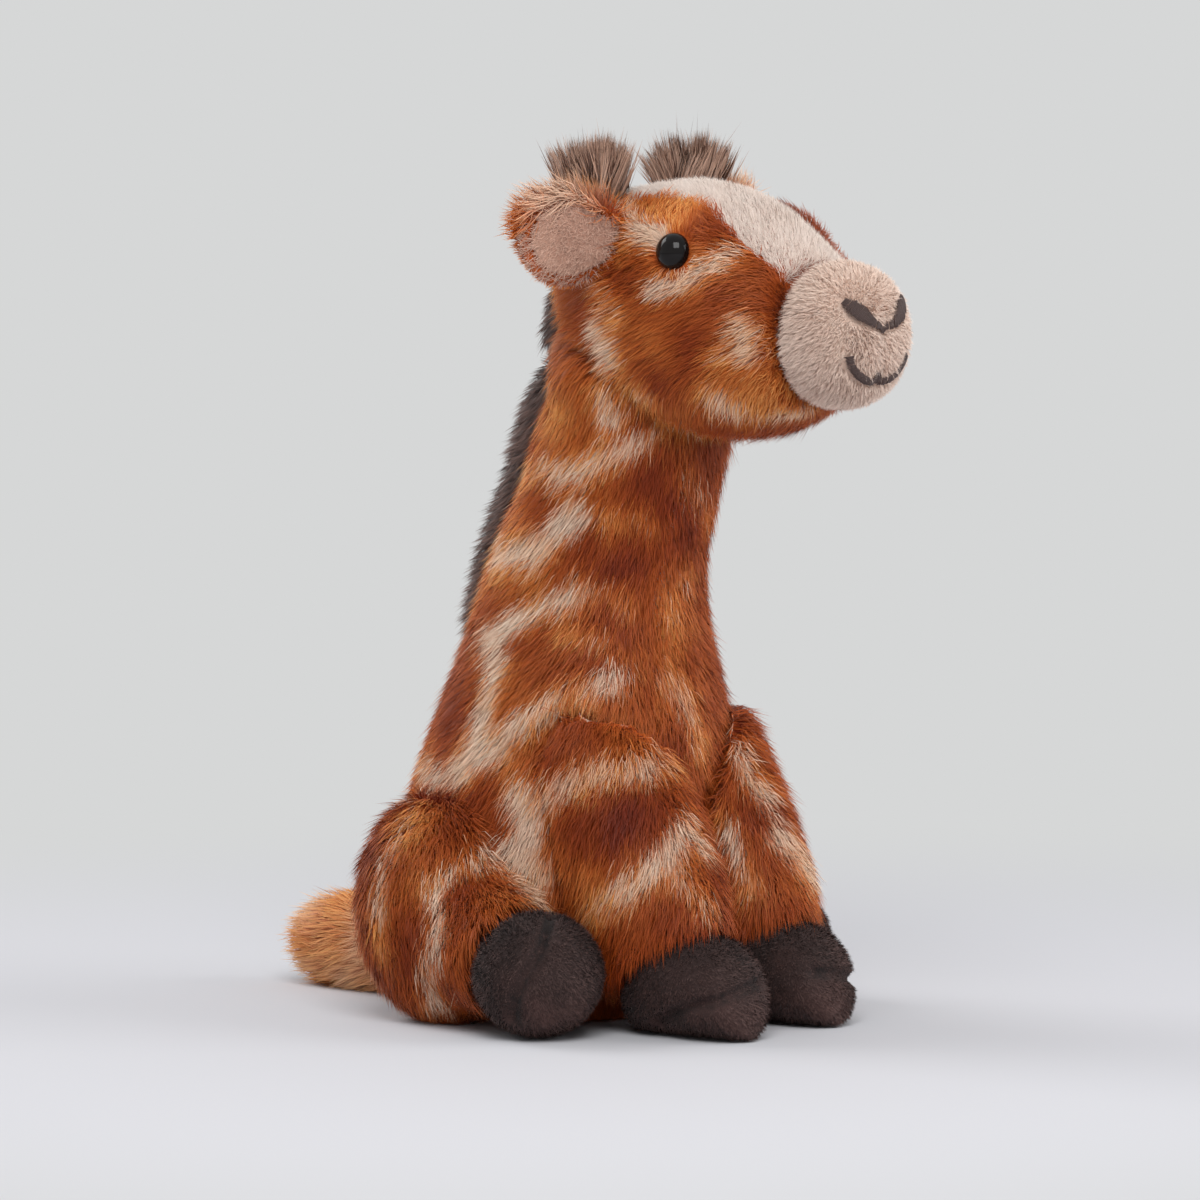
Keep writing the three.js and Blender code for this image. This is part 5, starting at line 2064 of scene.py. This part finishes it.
@dataclass
class Tail(Part):
    """The stub of a tail, in golden coat."""

    waves: Waves = field(default_factory=lambda: Waves(91, 9))

    def skins(self) -> list[Skin]:
        """The tail's cloth."""
        return [Skin("tail_cloth", ("tail",), "tail_stub", Fabric.COAT, 3.5, 2.4, 1.6, 0.6)]

    def tone(self, points: Points, facing: Points) -> Points:
        """Orange, deeper in places."""
        return 1.0 + self.waves(points) * 0.25

    def pale(self, points: Points, facing: Points) -> Points:
        """How pale the coat is, in places."""
        return np.clip(0.2 + self.waves(points + 0.3) * 0.3, 0, 0.5)

    def build(self) -> None:
        """Grows the coat."""
        nap = constant(0, 1, -0.1)
        self.toy.grow("tail_coat", "tail_cloth", TAIL_PILE, nap, COAT, tone=self.tone, pale=self.pale)
        self.toy.clothe("tail_cloth", COAT, self.tone)


def dress_inside() -> None:
    """Gives each solid that stays inside its material."""
    for finish, nodes in INSIDE.items():
        for name in nodes:
            for slot in frame["nodes"][name].material_slots:
                slot.material = finish.dyed
            LOG.info("%s: CAD solid, in %s", name, finish.dyed.name)


@dataclass
class Stage:
    """A plain pale floor that melts into a pale backdrop, and soft studio light. Sizes are in metres."""

    floor_radius: float = 3.0
    fade_from: float = 0.22
    fade_to: float = 0.6
    floor_colour: tuple = linear(214, 214, 219)
    backdrop: tuple = linear(214, 215, 215)
    ambient: float = 0.55
    lit: tuple[float, float, float] = (0, 0, 0.14)
    lamps: tuple = (
        ("key", (-1.1, -1.0, 1.5), 1.1, 25.0),
        ("fill", (0.9, -1.5, 0.7), 1.2, 14.0),
        ("back", (-0.4, 1.5, 1.3), 1.0, 14.0),
    )

    def build(self) -> None:
        """Makes the floor, the backdrop and the lamps."""
        scene = bpy.context.scene
        scene.view_settings.view_transform = "Standard"
        deselect()
        bpy.ops.mesh.primitive_circle_add(vertices=96, radius=self.floor_radius, fill_type="NGON")
        floor = bpy.context.object
        floor.name = "studio_floor"
        with editing(floor):
            bpy.ops.mesh.inset(thickness=self.floor_radius * 0.6)
        floor.data.materials.append(self._floor())
        scene.world = self._world()
        for name, place, size, power in self.lamps:
            data = bpy.data.lights.new(name + "_lamp", "AREA")
            data.size, data.energy = size, power
            aim(add_object(data.name, data), Vector(place), Vector(self.lit) - Vector(place))

    def _floor(self) -> bpy.types.Material:
        """Pale paper near the toy, and the backdrop's own colour further out."""
        shader = Shader("floor_paper")
        length = shader.add("VectorMath", {0: shader.place()}, operation="LENGTH").outputs["Value"]
        edges = {"Value": length, "From Min": self.fade_from, "From Max": self.fade_to}
        fade = shader.add("MapRange", edges, interpolation_type="SMOOTHSTEP").outputs["Result"]
        shaded = tuple(share * 0.98 for share in self.floor_colour)
        colour = shader.mix(shader.noise(700, 3), self.floor_colour, shaded)
        paper = shader.add("BsdfPrincipled", {"Base Color": colour, "Roughness": 0.9})
        glow = shader.add("Emission", {"Color": self.backdrop, "Strength": 1.0})
        seen = shader.add("LightPath").outputs["Is Camera Ray"]
        share = Value(shader, fade) * seen
        mixed = shader.add("MixShader", {0: share, 1: paper.outputs[0], 2: glow.outputs[0]})
        shader.add("OutputMaterial", {"Surface": mixed.outputs[0]})
        return shader.owner

    def _world(self) -> bpy.types.World:
        """A plain backdrop for the camera and for gloss, and a soft light for everything else."""
        shader = Shader("studio", world=True)
        path = shader.add("LightPath").outputs
        rays = {0: path["Is Camera Ray"], 1: path["Is Glossy Ray"]}
        seen = shader.add("Math", rays, operation="MAXIMUM").outputs[0]
        light, backdrop = (
            shader.add("Background", {"Color": self.backdrop, "Strength": strength}).outputs[0]
            for strength in (self.ambient, 1.0)
        )
        mixed = shader.add("MixShader", {0: seen, 1: light, 2: backdrop})
        shader.add("OutputWorld", {"Surface": mixed.outputs[0]})
        return shader.owner


def main() -> None:
    """Builds the toy and its stage."""
    logging.basicConfig(level=logging.INFO, format="%(message)s")
    view = PhotoView()
    view.camera()
    toy = Toy(view)
    legs = (
        ("front_leg", "front_hoof", "front_limb", (0.1, 0.1, -1), HOOF_SEAM),
        ("hind_leg", "hind_foot", "hind_limb", (0.1, -0.2, -1), FOOT_SEAM),
    )
    ears = [Ear(toy, side) for side in Side]
    limbs = [Limb(toy, side, *leg) for side in Side for leg in legs]
    parts = [Torso(toy), Head(toy), *ears, Tufts(toy), *limbs, Tail(toy), Eyes(toy)]
    for part in parts:
        for skin in part.skins():
            toy.workshop.cut(skin)
    toy.workshop.stuff()
    for part in parts:
        part.build()
    dress_inside()
    Stage().build()


if __name__ == "__main__":
    main()
